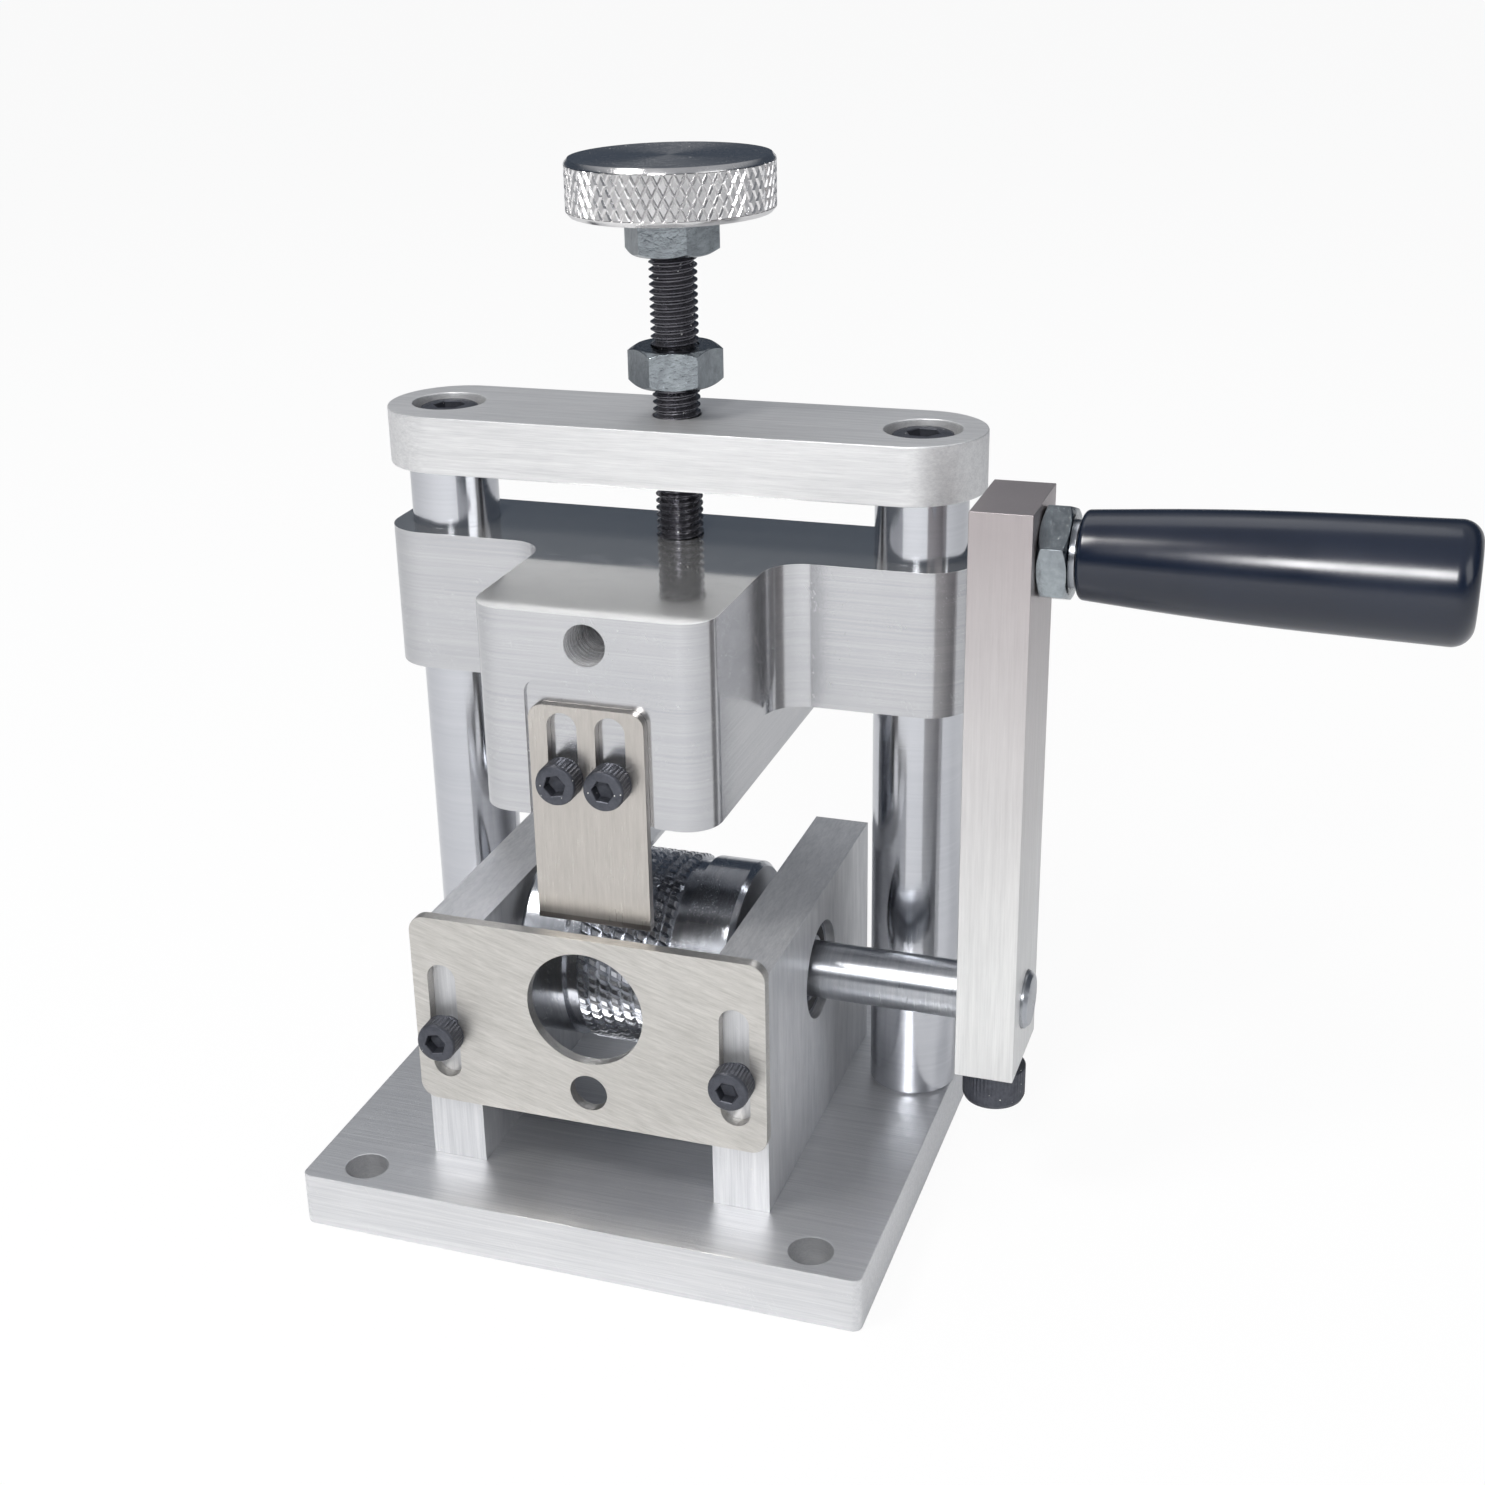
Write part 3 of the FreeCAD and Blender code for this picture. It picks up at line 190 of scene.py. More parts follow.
# %% Scratches, patches and dust
def make_scratches():
    """Two families of thin stray lines that cross, broken up by a patchy mask."""
    families, slimness, faint, full = ((0.3, 0.7, 0.6), (1.1, -0.5, -0.9)), 26.0, 0.66, 0.72
    tree, given, end = shader_group("Scratches", [
        ("Scale", "NodeSocketFloat", 60.0), ("Share", "NodeSocketFloat", 0.5),
    ], [("Mask", "NodeSocketFloat")])
    place = object_place(tree)
    masks = []
    for turn in families:
        turned = add(tree, "ShaderNodeMapping", {"Vector": place, "Rotation": turn}).outputs[0]
        long = vector_math(tree, "MULTIPLY", turned, (1.0, slimness, slimness))
        lines = add(tree, "ShaderNodeTexNoise", {"Vector": long, "Scale": given["Scale"],
                                                 "Detail": 2.0})
        masks.append(remap(tree, lines.outputs[0], faint, full))
    both = math_node(tree, "MAXIMUM", *masks)
    patchy = add(tree, "ShaderNodeTexNoise", {"Vector": place, "Scale": given["Scale"],
                                              "Detail": 1.0})
    here = math_node(tree, "GREATER_THAN", given["Share"], patchy.outputs[0])
    tree.links.new(times(tree, both, here), end.inputs["Mask"])
    return tree


def make_patches():
    """Soft, uneven areas: handling marks on metal, haze on a polished face."""
    faint, full = 0.35, 0.68
    tree, given, end = shader_group("Patches", [("Scale", "NodeSocketFloat", 40.0)],
                                    [("Mask", "NodeSocketFloat")])
    cloud = add(tree, "ShaderNodeTexNoise", {
        "Vector": object_place(tree), "Scale": given["Scale"], "Detail": 3.0})
    tree.links.new(remap(tree, cloud.outputs[0], faint, full), end.inputs["Mask"])
    return tree


def make_specks():
    """Small bright points: dust and swarf on oiled metal, pits in plastic.

    bare is the share of cells that have none.
    """
    bare = 0.8
    tree, given, end = shader_group("Specks", [
        ("Scale", "NodeSocketFloat", 700.0), ("Size", "NodeSocketFloat", 0.14),
    ], [("Mask", "NodeSocketFloat")])
    place = object_place(tree)
    cells = add(tree, "ShaderNodeTexVoronoi", {"Vector": place, "Scale": given["Scale"]})
    near = math_node(tree, "LESS_THAN", cells.outputs["Distance"], given["Size"])
    chance = add(tree, "ShaderNodeSeparateColor", {0: cells.outputs["Color"]}).outputs[0]
    some = math_node(tree, "GREATER_THAN", chance, bare)
    tree.links.new(times(tree, near, some), end.inputs["Mask"])
    return tree


def make_rings():
    """Turning marks: rings round an axis along Z through a centre, a fixed pitch apart."""
    tree, given, end = shader_group("Rings", [
        ("Centre", "NodeSocketVector", (0.0, 0.0, 0.0)), ("Pitch", "NodeSocketFloat", 0.2 * MM),
    ], [("Height", "NodeSocketFloat")])
    from_centre = vector_math(tree, "SUBTRACT", object_place(tree), given["Centre"])
    flat = vector_math(tree, "MULTIPLY", from_centre, (1.0, 1.0, 0.0))
    turns = over(tree, vector_math(tree, "LENGTH", flat), given["Pitch"])
    uneven = add(tree, "ShaderNodeTexNoise", {"W": turns, "Scale": 0.8, "Detail": 3.0},
                 noise_dimensions="1D")
    tree.links.new(uneven.outputs[0], end.inputs["Height"])
    return tree


SCRATCHES, PATCHES, SPECKS, RINGS = (make_scratches(), make_patches(), make_specks(),
                                     make_rings())
print("shader groups", len(bpy.data.node_groups))


# %% [markdown]
# ## Metals
#
# Every metal is a Principled shader whose colour and roughness follow its tool marks, with the
# marks as bump. What differs is how deep and in which direction the cutter or the belt ran, how
# glossy the face is, and how it was handled since, so one function makes them all. Fine marks
# that run round an axis draw a highlight out across them, which is what Anisotropic does. A
# Metallic a little under 1 stands for oxide and dust, which scatter some light.

# %% The metal maker
PATCH_SHADE, SCRATCH_SHADE = 0.15, 0.35
MARKS_SHARE, PATCH_SHARE, SMOOTHEST, ROUGHEST = 0.7, 0.3, 0.1, 0.9
SCRATCH_ROUGHENS, SPECK_ROUGHENS = 0.15, 0.4
FRESH, DUST = (0.9, 0.9, 0.9), (0.8, 0.8, 0.78)
QUARTER_TURN = 0.25


def rgba(colour):
    return (*colour, 1.0)


def new_material(name):
    made = bpy.data.materials.new(name)
    made.use_nodes = True
    return made


def inside(made):
    return made.node_tree, made.node_tree.nodes["Principled BSDF"]


def connect(shader, **sockets):
    """Link sockets to a shader's inputs, which are named with _ for a space."""
    for key, socket in sockets.items():
        shader.id_data.links.new(socket, shader.inputs[key.replace("_", " ")])


def source_of(shader, key):
    """The socket that feeds one of a shader's inputs."""
    return shader.inputs[key].links[0].from_socket


def tint(made, mask, colour):
    """Blend a finish's own colour towards another one where the mask says so."""
    tree, shader = inside(made)
    own = source_of(shader, "Base Color")
    connect(shader, Base_Color=blend_colour(tree, mask, own, rgba(colour)))


def use_group(tree, group, **values):
    made = tree.nodes.new("ShaderNodeGroup")
    made.node_tree = group
    for key, given in values.items():
        made.inputs[key.capitalize()].default_value = given
    return made.outputs


def metal(name, colour, dark, rough, grain, depth=0.02 * MM, turn=(0, 0, 0), waver=0.0,
          streaks=0.4, lines=0.35, scratches=None, patches=45.0, specks=None, metallic=1.0,
          aniso=0.0, axis=None):
    """A metal finish: rough is its lowest and highest roughness, grain the scale of its marks.

    aniso is how far a highlight is drawn out across marks that run round the axis.
    """
    made = new_material(name)
    tree, shader = inside(made)
    shader.inputs["Metallic"].default_value = metallic
    if axis:
        shader.inputs["Anisotropic"].default_value = aniso
        shader.inputs["Anisotropic Rotation"].default_value = QUARTER_TURN
        round_it = add(tree, "ShaderNodeTangent", direction_type="RADIAL", axis=axis)
        connect(shader, Tangent=round_it.outputs[0])
    marks = use_group(tree, GRAIN, scale=grain, turn=turn, waver=waver)
    patch = use_group(tree, PATCHES, scale=patches)["Mask"]
    tone = plus(tree, times(tree, marks["Broad"], streaks), times(tree, marks["Height"], lines))
    shade = blend_colour(tree, tone, rgba(colour), rgba(dark))
    shade = blend_colour(tree, times(tree, patch, PATCH_SHADE), shade, rgba(dark))
    uneven = plus(tree, times(tree, marks["Height"], MARKS_SHARE),
                  times(tree, patch, PATCH_SHARE))
    gloss = remap(tree, uneven, SMOOTHEST, ROUGHEST, *rough)
    height = marks["Height"]
    if scratches:
        mask = use_group(tree, SCRATCHES, scale=scratches[0], share=scratches[1])["Mask"]
        shade = blend_colour(tree, times(tree, mask, SCRATCH_SHADE), shade, rgba(FRESH))
        gloss = plus(tree, gloss, times(tree, mask, SCRATCH_ROUGHENS))
        height = minus(tree, height, mask)
    if specks:
        dots = use_group(tree, SPECKS, scale=specks[0], size=specks[1])["Mask"]
        shade = blend_colour(tree, dots, shade, rgba(DUST))
        gloss = plus(tree, gloss, times(tree, dots, SPECK_ROUGHENS))
    bump = add(tree, "ShaderNodeBump", {"Strength": 1.0, "Distance": depth, "Height": height})
    connect(shader, Base_Color=shade, Roughness=gloss, Normal=bump.outputs[0])
    return made


# %% [markdown]
# ## The aluminium
#
# Base, side plates and bar are sawn from bar and belt-ground: dull, with fine lines along their
# length. The carriage is milled all round with a side cutter, so its marks lie level, and its top
# is so fine that the bar and the screw show in it; that top is also painted lighter, as painted
# light. The hole in its front is drilled. The arm is ground along its length and has a warm tint
# towards the top, darkened there as painted shade. Where a finish changes over a piece, a mask
# from the height over the base drives the change.

# %% Aluminium finishes
ALU_DARK = (0.46, 0.47, 0.49)
base_finish = metal("base_aluminium", (0.77, 0.77, 0.78), ALU_DARK, (0.30, 0.44),
                    (60.0, 2800.0, 2800.0), streaks=0.3, scratches=(170.0, 0.45),
                    patches=28.0, metallic=0.85)
side_finish = metal("side_plate_aluminium", (0.77, 0.77, 0.78), ALU_DARK, (0.38, 0.52),
                    (2400.0, 500.0, 70.0), scratches=(180.0, 0.48), specks=(500.0, 0.1),
                    metallic=0.75)
bar_finish = metal("bar_aluminium", (0.83, 0.83, 0.83), (0.58, 0.58, 0.59), (0.40, 0.52),
                   (110.0, 2600.0, 2600.0), lines=0.5, patches=24.0, metallic=0.75)
drilled_finish = metal("drilled_aluminium", (0.88, 0.88, 0.89), (0.50, 0.50, 0.52),
                       (0.20, 0.32), (60.0, 2600.0, 60.0), depth=0.16 * MM, streaks=0.2,
                       metallic=0.6)


def make_carriage_finish():
    """Milled all round, and finer on top, which mirrors the bar and the screw.

    Its top is also painted lighter, which is painted light.
    """
    made = metal("carriage_aluminium", (0.56, 0.56, 0.57), (0.36, 0.37, 0.40), (0.15, 0.23),
                 (22.0, 22.0, 3000.0), depth=0.003 * MM, streaks=0.28, lines=0.30, aniso=0.65,
                 axis="Z", scratches=(210.0, 0.45), patches=38.0, specks=(420.0, 0.05),
                 metallic=0.90)
    tree, shader = inside(made)
    top, polish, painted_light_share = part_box("carriage_block")[1].z, 0.35, 0.9
    on_top = remap(tree, object_height(tree), top - 0.10 * MM, top - 0.03 * MM)
    share = remap(tree, on_top, 0.0, 1.0, 1.0, polish)
    connect(shader, Roughness=times(tree, source_of(shader, "Roughness"), share))
    # Painted light: the top face's colour is lightened towards a pale grey.
    tint(made, times(tree, on_top, painted_light_share), (0.88, 0.88, 0.87))
    return made


carriage_finish = make_carriage_finish()


def make_arm_finish():
    """Ground along Z; a warm tint, darkened as painted shade, grows towards the top."""
    made = metal("arm_aluminium", (0.84, 0.84, 0.83), (0.60, 0.60, 0.60), (0.34, 0.46),
                 (2600.0, 2600.0, 90.0), streaks=0.3, patches=30.0, metallic=0.85)
    start, full, share = 60 * MM, 150 * MM, 0.85
    # The warm hue is the arm's own tint; its darkening towards the top is painted shade.
    warm_tint_and_painted_shade = remap(made.node_tree, object_height(made.node_tree), start, full, 0.0, share)
    tint(made, warm_tint_and_painted_shade, (0.38, 0.335, 0.34))
    return made


arm_finish = make_arm_finish()
print("materials so far", len(bpy.data.materials))

# %% [markdown]
# ## The steels and the plastic
#
# Posts and shaft are ground bright round their axes, the roller is polished on its flanges, and
# both guide plates are belt-finished stainless: the baffle at a slant, the restricting plate
# upright. Nuts are zinc plated, screws are blackened, the knob is turned, and the grip is moulded
# plastic, so glossy that only faint ripples and a few pits show.

# %% Steel finishes
STEEL_DARK = (0.36, 0.38, 0.42)
post_finish = metal("ground_post_steel", (0.57, 0.58, 0.61), (0.36, 0.37, 0.41), (0.12, 0.18),
                    (20.0, 20.0, 2600.0), depth=0.003 * MM, streaks=0.12, lines=0.18, patches=30.0,
                    aniso=0.7, axis="Z")
shaft_finish = metal("ground_shaft_steel", (0.52, 0.53, 0.55), (0.32, 0.34, 0.38), (0.26, 0.36),
                     (2600.0, 90.0, 90.0), depth=0.004 * MM, scratches=(230.0, 0.5), aniso=0.6,
                     axis="X")
roller_finish = metal("roller_steel", (0.62, 0.63, 0.66), (0.30, 0.32, 0.36), (0.15, 0.24),
                      (2200.0, 60.0, 60.0), depth=0.004 * MM, scratches=(220.0, 0.5),
                      specks=(900.0, 0.06), aniso=0.6, axis="X")
knurl_finish = metal("roller_knurl_steel", (0.92, 0.93, 0.95), (0.54, 0.56, 0.60), (0.34, 0.46),
                     (900.0, 900.0, 900.0), depth=0.01 * MM, streaks=0.2, lines=0.2,
                     metallic=0.55)
baffle_finish = metal("baffle_stainless", (0.69, 0.67, 0.64), (0.40, 0.39, 0.365),
                      (0.34, 0.46), (230.0, 2300.0, 2600.0), depth=0.018 * MM,
                      turn=(0.0, -0.28, 0.0), waver=0.6 * MM, streaks=0.3, lines=0.45,
                      patches=26.0)
zinc_finish = metal("zinc_plate", (0.37, 0.41, 0.43), (0.15, 0.16, 0.18), (0.08, 0.20),
                    (700.0, 700.0, 700.0), depth=0.05 * MM, patches=180.0, specks=(800.0, 0.06))
black_finish = metal("black_oxide", (0.105, 0.11, 0.13), (0.045, 0.048, 0.060),
                     (0.34, 0.50), (1400.0, 1400.0, 1400.0), depth=0.01 * MM, metallic=0.7,
                     specks=(900.0, 0.12))
thread_finish = metal("blackened_thread", (0.17, 0.165, 0.18), (0.07, 0.072, 0.088),
                      (0.18, 0.32), (500.0, 500.0, 3000.0), depth=0.01 * MM, metallic=0.85,
                      specks=(700.0, 0.14))
bearing_finish = metal("bearing_steel", (0.55, 0.56, 0.59), STEEL_DARK, (0.12, 0.22),
                       (2600.0, 200.0, 200.0), depth=0.005 * MM)
blade_finish = metal("blade_tool_steel", (0.55, 0.56, 0.58), STEEL_DARK, (0.14, 0.26),
                     (2200.0, 60.0, 2200.0), depth=0.008 * MM, scratches=(200.0, 0.45))


def make_plate_finish():
    """Upright belt grain, and a dark band of painted shade along the lower edge."""
    made = metal("restricting_plate_stainless", (0.55, 0.52, 0.49), (0.41, 0.39, 0.365),
                 (0.26, 0.36), (2600.0, 2600.0, 200.0), depth=0.008 * MM, patches=60.0)
    tree, edge, share = made.node_tree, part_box("restricting_plate")[0].z, 0.75
    # Painted shade: a dark brownish band along the plate's lower edge.
    band = remap(tree, object_height(tree), edge + 1.15 * MM, edge + 1.35 * MM, share, 0.0)
    tint(made, band, (0.20, 0.18, 0.17))
    return made


plate_finish = make_plate_finish()
print("materials so far", len(bpy.data.materials))


# %% The knob, the seals and the grip
def make_knob_finish():
    """Turned aluminium: rings on the face, and the gloss that a lathe leaves across them."""
    made = metal("knob_aluminium", (0.78, 0.77, 0.77), (0.52, 0.52, 0.53), (0.17, 0.24),
                 (900.0, 900.0, 900.0), depth=0.006 * MM, streaks=0.15, lines=0.2,
                 scratches=(190.0, 0.52), patches=60.0, specks=(520.0, 0.10), aniso=0.7, axis="Z")
    tree, shader = inside(made)
    low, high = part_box("knob")
    centre = ((low.x + high.x) / 2, (low.y + high.y) / 2, 0.0)
    pitch, ring_depth = 0.35 * MM, 0.006 * MM
    rings = use_group(tree, RINGS, centre=centre, pitch=pitch)["Height"]
    finer = add(tree, "ShaderNodeBump", {
        "Strength": 1.0, "Distance": ring_depth, "Height": rings,
        "Normal": source_of(shader, "Normal")})
    connect(shader, Normal=finer.outputs[0])
    return made


knob_knurl_finish = metal("knob_knurl_aluminium", (0.88, 0.87, 0.86), (0.60, 0.60, 0.60),
                          (0.28, 0.40), (900.0, 900.0, 900.0), depth=0.01 * MM, streaks=0.2,
                          lines=0.2, patches=90.0, metallic=0.85)


def plastic(name, colour, rough, ripple, pits):
    """A moulded plastic: coloured right through, with ripples and pits in its gloss."""
    haze_scale, haze_share, haze_gain = 50.0, 0.3, 1.7
    wave_scale, pit_size, refraction = 160.0, 0.12, 1.56
    made = new_material(name)
    tree, shader = inside(made)
    shader.inputs["IOR"].default_value = refraction
    cloud = use_group(tree, PATCHES, scale=haze_scale)["Mask"]
    dots = use_group(tree, SPECKS, scale=pits, size=pit_size)["Mask"]
    shade = blend_colour(tree, times(tree, cloud, haze_share), rgba(colour),
                         rgba([part * haze_gain for part in colour]))
    waves = add(tree, "ShaderNodeTexNoise", {"Vector": object_place(tree), "Scale": wave_scale,
                                             "Detail": 2.0})
    height = minus(tree, waves.outputs[0], dots)
    bump = add(tree, "ShaderNodeBump", {"Strength": 1.0, "Distance": ripple, "Height": height})
    connect(shader, Base_Color=shade, Roughness=remap(tree, cloud, 0.0, 1.0, *rough),
            Normal=bump.outputs[0])
    return made


knob_finish = make_knob_finish()
grip_finish = plastic("grip_plastic", (0.0045, 0.0085, 0.020), (0.19, 0.26), 0.015 * MM, 900.0)
seal_finish = plastic("seal_rubber", (0.010, 0.010, 0.011), (0.45, 0.6), 0.05 * MM, 1500.0)
print("materials", len(bpy.data.materials))

# %% [markdown]
# ## Edges
#
# A machined edge is broken by a few tenths of a millimetre and catches the light, which is what
# makes a metal part look real. A copy of the CAD mesh is merged, its flat faces are joined again,
# and only its sharp edges are bevelled. The CAD mesh itself stays as it is, out of sight.

# %% Mesh tools
FLAT, SHARP = math.radians(0.3), math.radians(32)
SAME_PLACE = 0.001 * MM


def in_scene(name, data):
    made = bpy.data.objects.new(name, data)
    bpy.context.scene.collection.objects.link(made)
    return made


def new_object(name, mesh, finish):
    made = in_scene(name, mesh)
    mesh.materials.clear()
    mesh.materials.append(finish)
    return made


def evaluated(made):
    """Replace an object's mesh with what its modifiers give, and drop them."""
    bpy.context.view_layer.update()
    graph = bpy.context.evaluated_depsgraph_get()
    mesh = bpy.data.meshes.new_from_object(made.evaluated_get(graph))
    made.modifiers.clear()
    made.data = mesh
    return made


def smooth(mesh, angle=SHARP):
    mesh.polygons.foreach_set("use_smooth", [True] * len(mesh.polygons))
    mesh.set_sharp_from_angle(angle=angle)


def mesh_from(work, name):
    """Write a bmesh to a new mesh and free it."""
    mesh = bpy.data.meshes.new(name)
    work.to_mesh(mesh)
    work.free()
    return mesh


def dress(piece, slot, *replaced):
    """The piece stands for CAD nodes of one body and rides on it."""
    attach(piece, nodes[replaced[0]]["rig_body"])
    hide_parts(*replaced)
    return piece


def eased(node, width, finish, slot):
    """A node's own shape with its sharp edges broken by a width in millimetres."""
    bare, cad = bpy.data.meshes.new("bare"), nodes[node].data
    bare.from_pydata([vert.co for vert in cad.vertices], [],
                     [tuple(face.vertices) for face in cad.polygons])
    work = bmesh.new()
    work.from_mesh(bare)
    bmesh.ops.remove_doubles(work, verts=work.verts, dist=SAME_PLACE)
    bmesh.ops.dissolve_limit(work, angle_limit=FLAT, verts=work.verts, edges=work.edges)
    piece = new_object(f"{node}_eased", mesh_from(work, f"{node}_eased"), finish)
    bevel = piece.modifiers.new("ease", "BEVEL")
    bevel.width, bevel.segments = width * MM, 2
    bevel.limit_method, bevel.angle_limit = "ANGLE", SHARP
    evaluated(piece)
    smooth(piece.data)
    weighted = piece.modifiers.new("flats", "WEIGHTED_NORMAL")
    weighted.keep_sharp = True
    evaluated(piece)
    return dress(piece, slot, node)


# %% The machined pieces
EASED = {
    "milled_aluminium": (("base_plate", 0.35, base_finish), ("side_plate_left", 0.3, side_finish),
                         ("side_plate_right", 0.3, side_finish), ("top_bar", 0.4, bar_finish),
                         ("carriage_block", 0.5, carriage_finish),
                         ("crank_arm", 0.3, arm_finish)),
    "stainless_sheet": (("inlet_baffle", 0.2, baffle_finish),
                        ("restricting_plate", 0.15, plate_finish)),
    "zinc_steel": (("lock_nut", 0.15, zinc_finish), ("jam_nut", 0.15, zinc_finish),
                   ("handle_nut", 0.15, zinc_finish)),
}
machined = {node: eased(node, width, finish, slot)
            for slot, rows in EASED.items() for node, width, finish in rows}
print("eased", {node: len(piece.data.polygons) for node, piece in machined.items()})

# %% [markdown]
# The hole in the carriage's front shows its drilling marks. The rings are deep enough to catch
# light that a smooth wall would send on into the hole. Only the faces of its wall get that
# finish, through a second material slot.

# %% The drilled bore
def finish_bore(piece, around, finish):
    """A second finish on the faces that lie round a node along Y, within a gap of its radius."""
    low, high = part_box(around)
    middle, radius = (low + high) / 2, (high.x - low.x) / 2
    gap, steep = 1 * MM, 0.5
    piece.data.materials.append(finish)
    found = 0
    for face in piece.data.polygons:
        away = Vector((face.center.x - middle.x, face.center.z - middle.z)).length
        if away < radius + gap and abs(face.normal.y) < steep and face.center.y < high.y:
            face.material_index = 1
            found += 1
    return found


print("faces in the bore",
      finish_bore(machined["carriage_block"], "screw_retainer", drilled_finish))

# %% [markdown]
# ## Pieces that keep their CAD mesh
#
# Round parts with their chamfers are right as they are and only get a finish.

# %% Finishes on CAD meshes
KEPT = {
    post_finish: ("guide_post_left", "guide_post_right"),
    shaft_finish: ("drive_shaft", "handle_stud", "grip_ring", "screw_retainer"),
    bearing_finish: ("bearing_outer_ring_left", "bearing_outer_ring_right",
                     "bearing_inner_ring_left", "bearing_inner_ring_right",
                     "bearing_balls_left", "bearing_balls_right"),
    seal_finish: ("bearing_shields_left", "bearing_shields_right"),
    blade_finish: ("blade",),
    black_finish: ("blade_clamp_screws", "roller_set_screws"),
}
for finish, names in KEPT.items():
    for name in names:
        slots = nodes[name].data.materials
        for number in range(len(slots)):
            slots[number] = finish
print("kept", sum(len(names) for names in KEPT.values()))

# %% [markdown]
# ## Turned shapes
#
# A closed outline of (radius, height) turned about Z is quicker and cleaner than a stack of
# cylinders, and its rings stay evenly spaced for the knurls that sit on it.

# %% Lathe
def lathe(outline, segments):
    """A solid of revolution in a bmesh: outline points in mm, closed, counterclockwise."""
    work = bmesh.new()
    rings = []
    for radius, height in outline:
        if radius == 0:
            rings.append([work.verts.new((0, 0, height * MM))] * segments)
            continue
        turns = [2 * math.pi * step / segments for step in range(segments)]
        rings.append([work.verts.new((radius * MM * math.cos(turn), radius * MM * math.sin(turn),
                                      height * MM)) for turn in turns])
    for below, above in zip(rings, rings[1:] + rings[:1]):
        for step in range(segments):
            after = (step + 1) % segments
            corners = [below[step], below[after], above[after], above[step]]
            corners = list(dict.fromkeys(corners))
            if len(corners) > 2:
                work.faces.new(corners)
    bmesh.ops.recalc_face_normals(work, faces=work.faces)
    return work


def finished_mesh(work, name, place):
    """Write a bmesh to a mesh, moved to its place in the object."""
    work.transform(place)
    mesh = mesh_from(work, name)
    smooth(mesh)
    return mesh


def joined(name, meshes, finishes):
    """One object from several meshes, each with its own finish."""
    work = bmesh.new()
    for number, mesh in enumerate(meshes):
        before = len(work.faces)
        work.from_mesh(mesh)
        work.faces.ensure_lookup_table()
        for face in work.faces[before:]:
            face.material_index = number
    made = new_object(name, mesh_from(work, name), finishes[0])
    for finish in finishes[1:]:
        made.data.materials.append(finish)
    return made


# %% [markdown]
# ## The grip
#
# A moulded grip swells in one long curve, and its highlight shows every bend. The CAD shape has
# two plain tapers, so on a copy of it the outside is drawn in round the bend between them, by up
# to 0.2 mm, along a parabola that meets both tapers.

# %% Grip
def make_grip(swell=28.0, reach=16.5, bend=0.053):
    """The grip with the bend of its tapers, swell mm from its start, eased over 2 x reach.

    bend is the change of slope from one taper to the other.
    """
    work = bmesh.new()
    work.from_mesh(nodes["grip"].data)
    bmesh.ops.remove_doubles(work, verts=work.verts, dist=SAME_PLACE)
    low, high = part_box("grip")
    middle, outside = (low + high) / 2, 8.0 * MM
    for vert in work.verts:
        away = abs(vert.co.x - low.x - swell * MM)
        spoke = Vector((0.0, vert.co.y - middle.y, vert.co.z - middle.z))
        if away < reach * MM and spoke.length > outside:
            drop = bend * (reach * MM - away) ** 2 / (4 * reach * MM)
            vert.co -= spoke.normalized() * drop
    made = new_object("grip_moulded", finished_mesh(work, "grip_moulded", Matrix()), grip_finish)
    return dress(made, "black_plastic", "grip")


print("grip polygons", len(make_grip().data.polygons))

# %% [markdown]
# ## Knurls
#
# A knurl is one tooth repeated on a lattice wrapped round a cylinder, so Geometry Nodes place it:
# rows up the band, each shifted round by a share of the pitch. A mesh grid pushed in and out
# would blur the grooves, while separate teeth keep them crisp. A tree ends by making its copies
# real and giving them a finish, and its result is kept as a plain mesh.

# %% What every Geometry Nodes tree needs
def geometry_group(name, inputs):
    """A tree with its inputs, and the identifiers by which a modifier sets them."""
    tree = bpy.data.node_groups.new(name, "GeometryNodeTree")
    sockets = {}
    for label, kind in inputs:
        made = tree.interface.new_socket(name=label, in_out="INPUT", socket_type=kind)
        sockets[label] = made.identifier
    tree.interface.new_socket(name="Geometry", in_out="OUTPUT", socket_type="NodeSocketGeometry")
    return tree, tree.nodes.new("NodeGroupInput").outputs, sockets


def end_tree(tree, copies, finish):
    real = add(tree, "GeometryNodeRealizeInstances", {"Geometry": copies.outputs[0]})
    painted = add(tree, "GeometryNodeSetMaterial", {"Geometry": real.outputs[0],
                                                    "Material": finish})
    tree.links.new(painted.outputs[0], tree.nodes.new("NodeGroupOutput").inputs[0])


def grow(carrier, tree, sockets, values):
    """Run a tree on an object, with its inputs set before it is first evaluated."""
    modifier = carrier.modifiers.new("grow", "NODES")
    modifier.node_group = tree
    for label, value in values.items():
        modifier[sockets[label]] = value
    return evaluated(carrier)


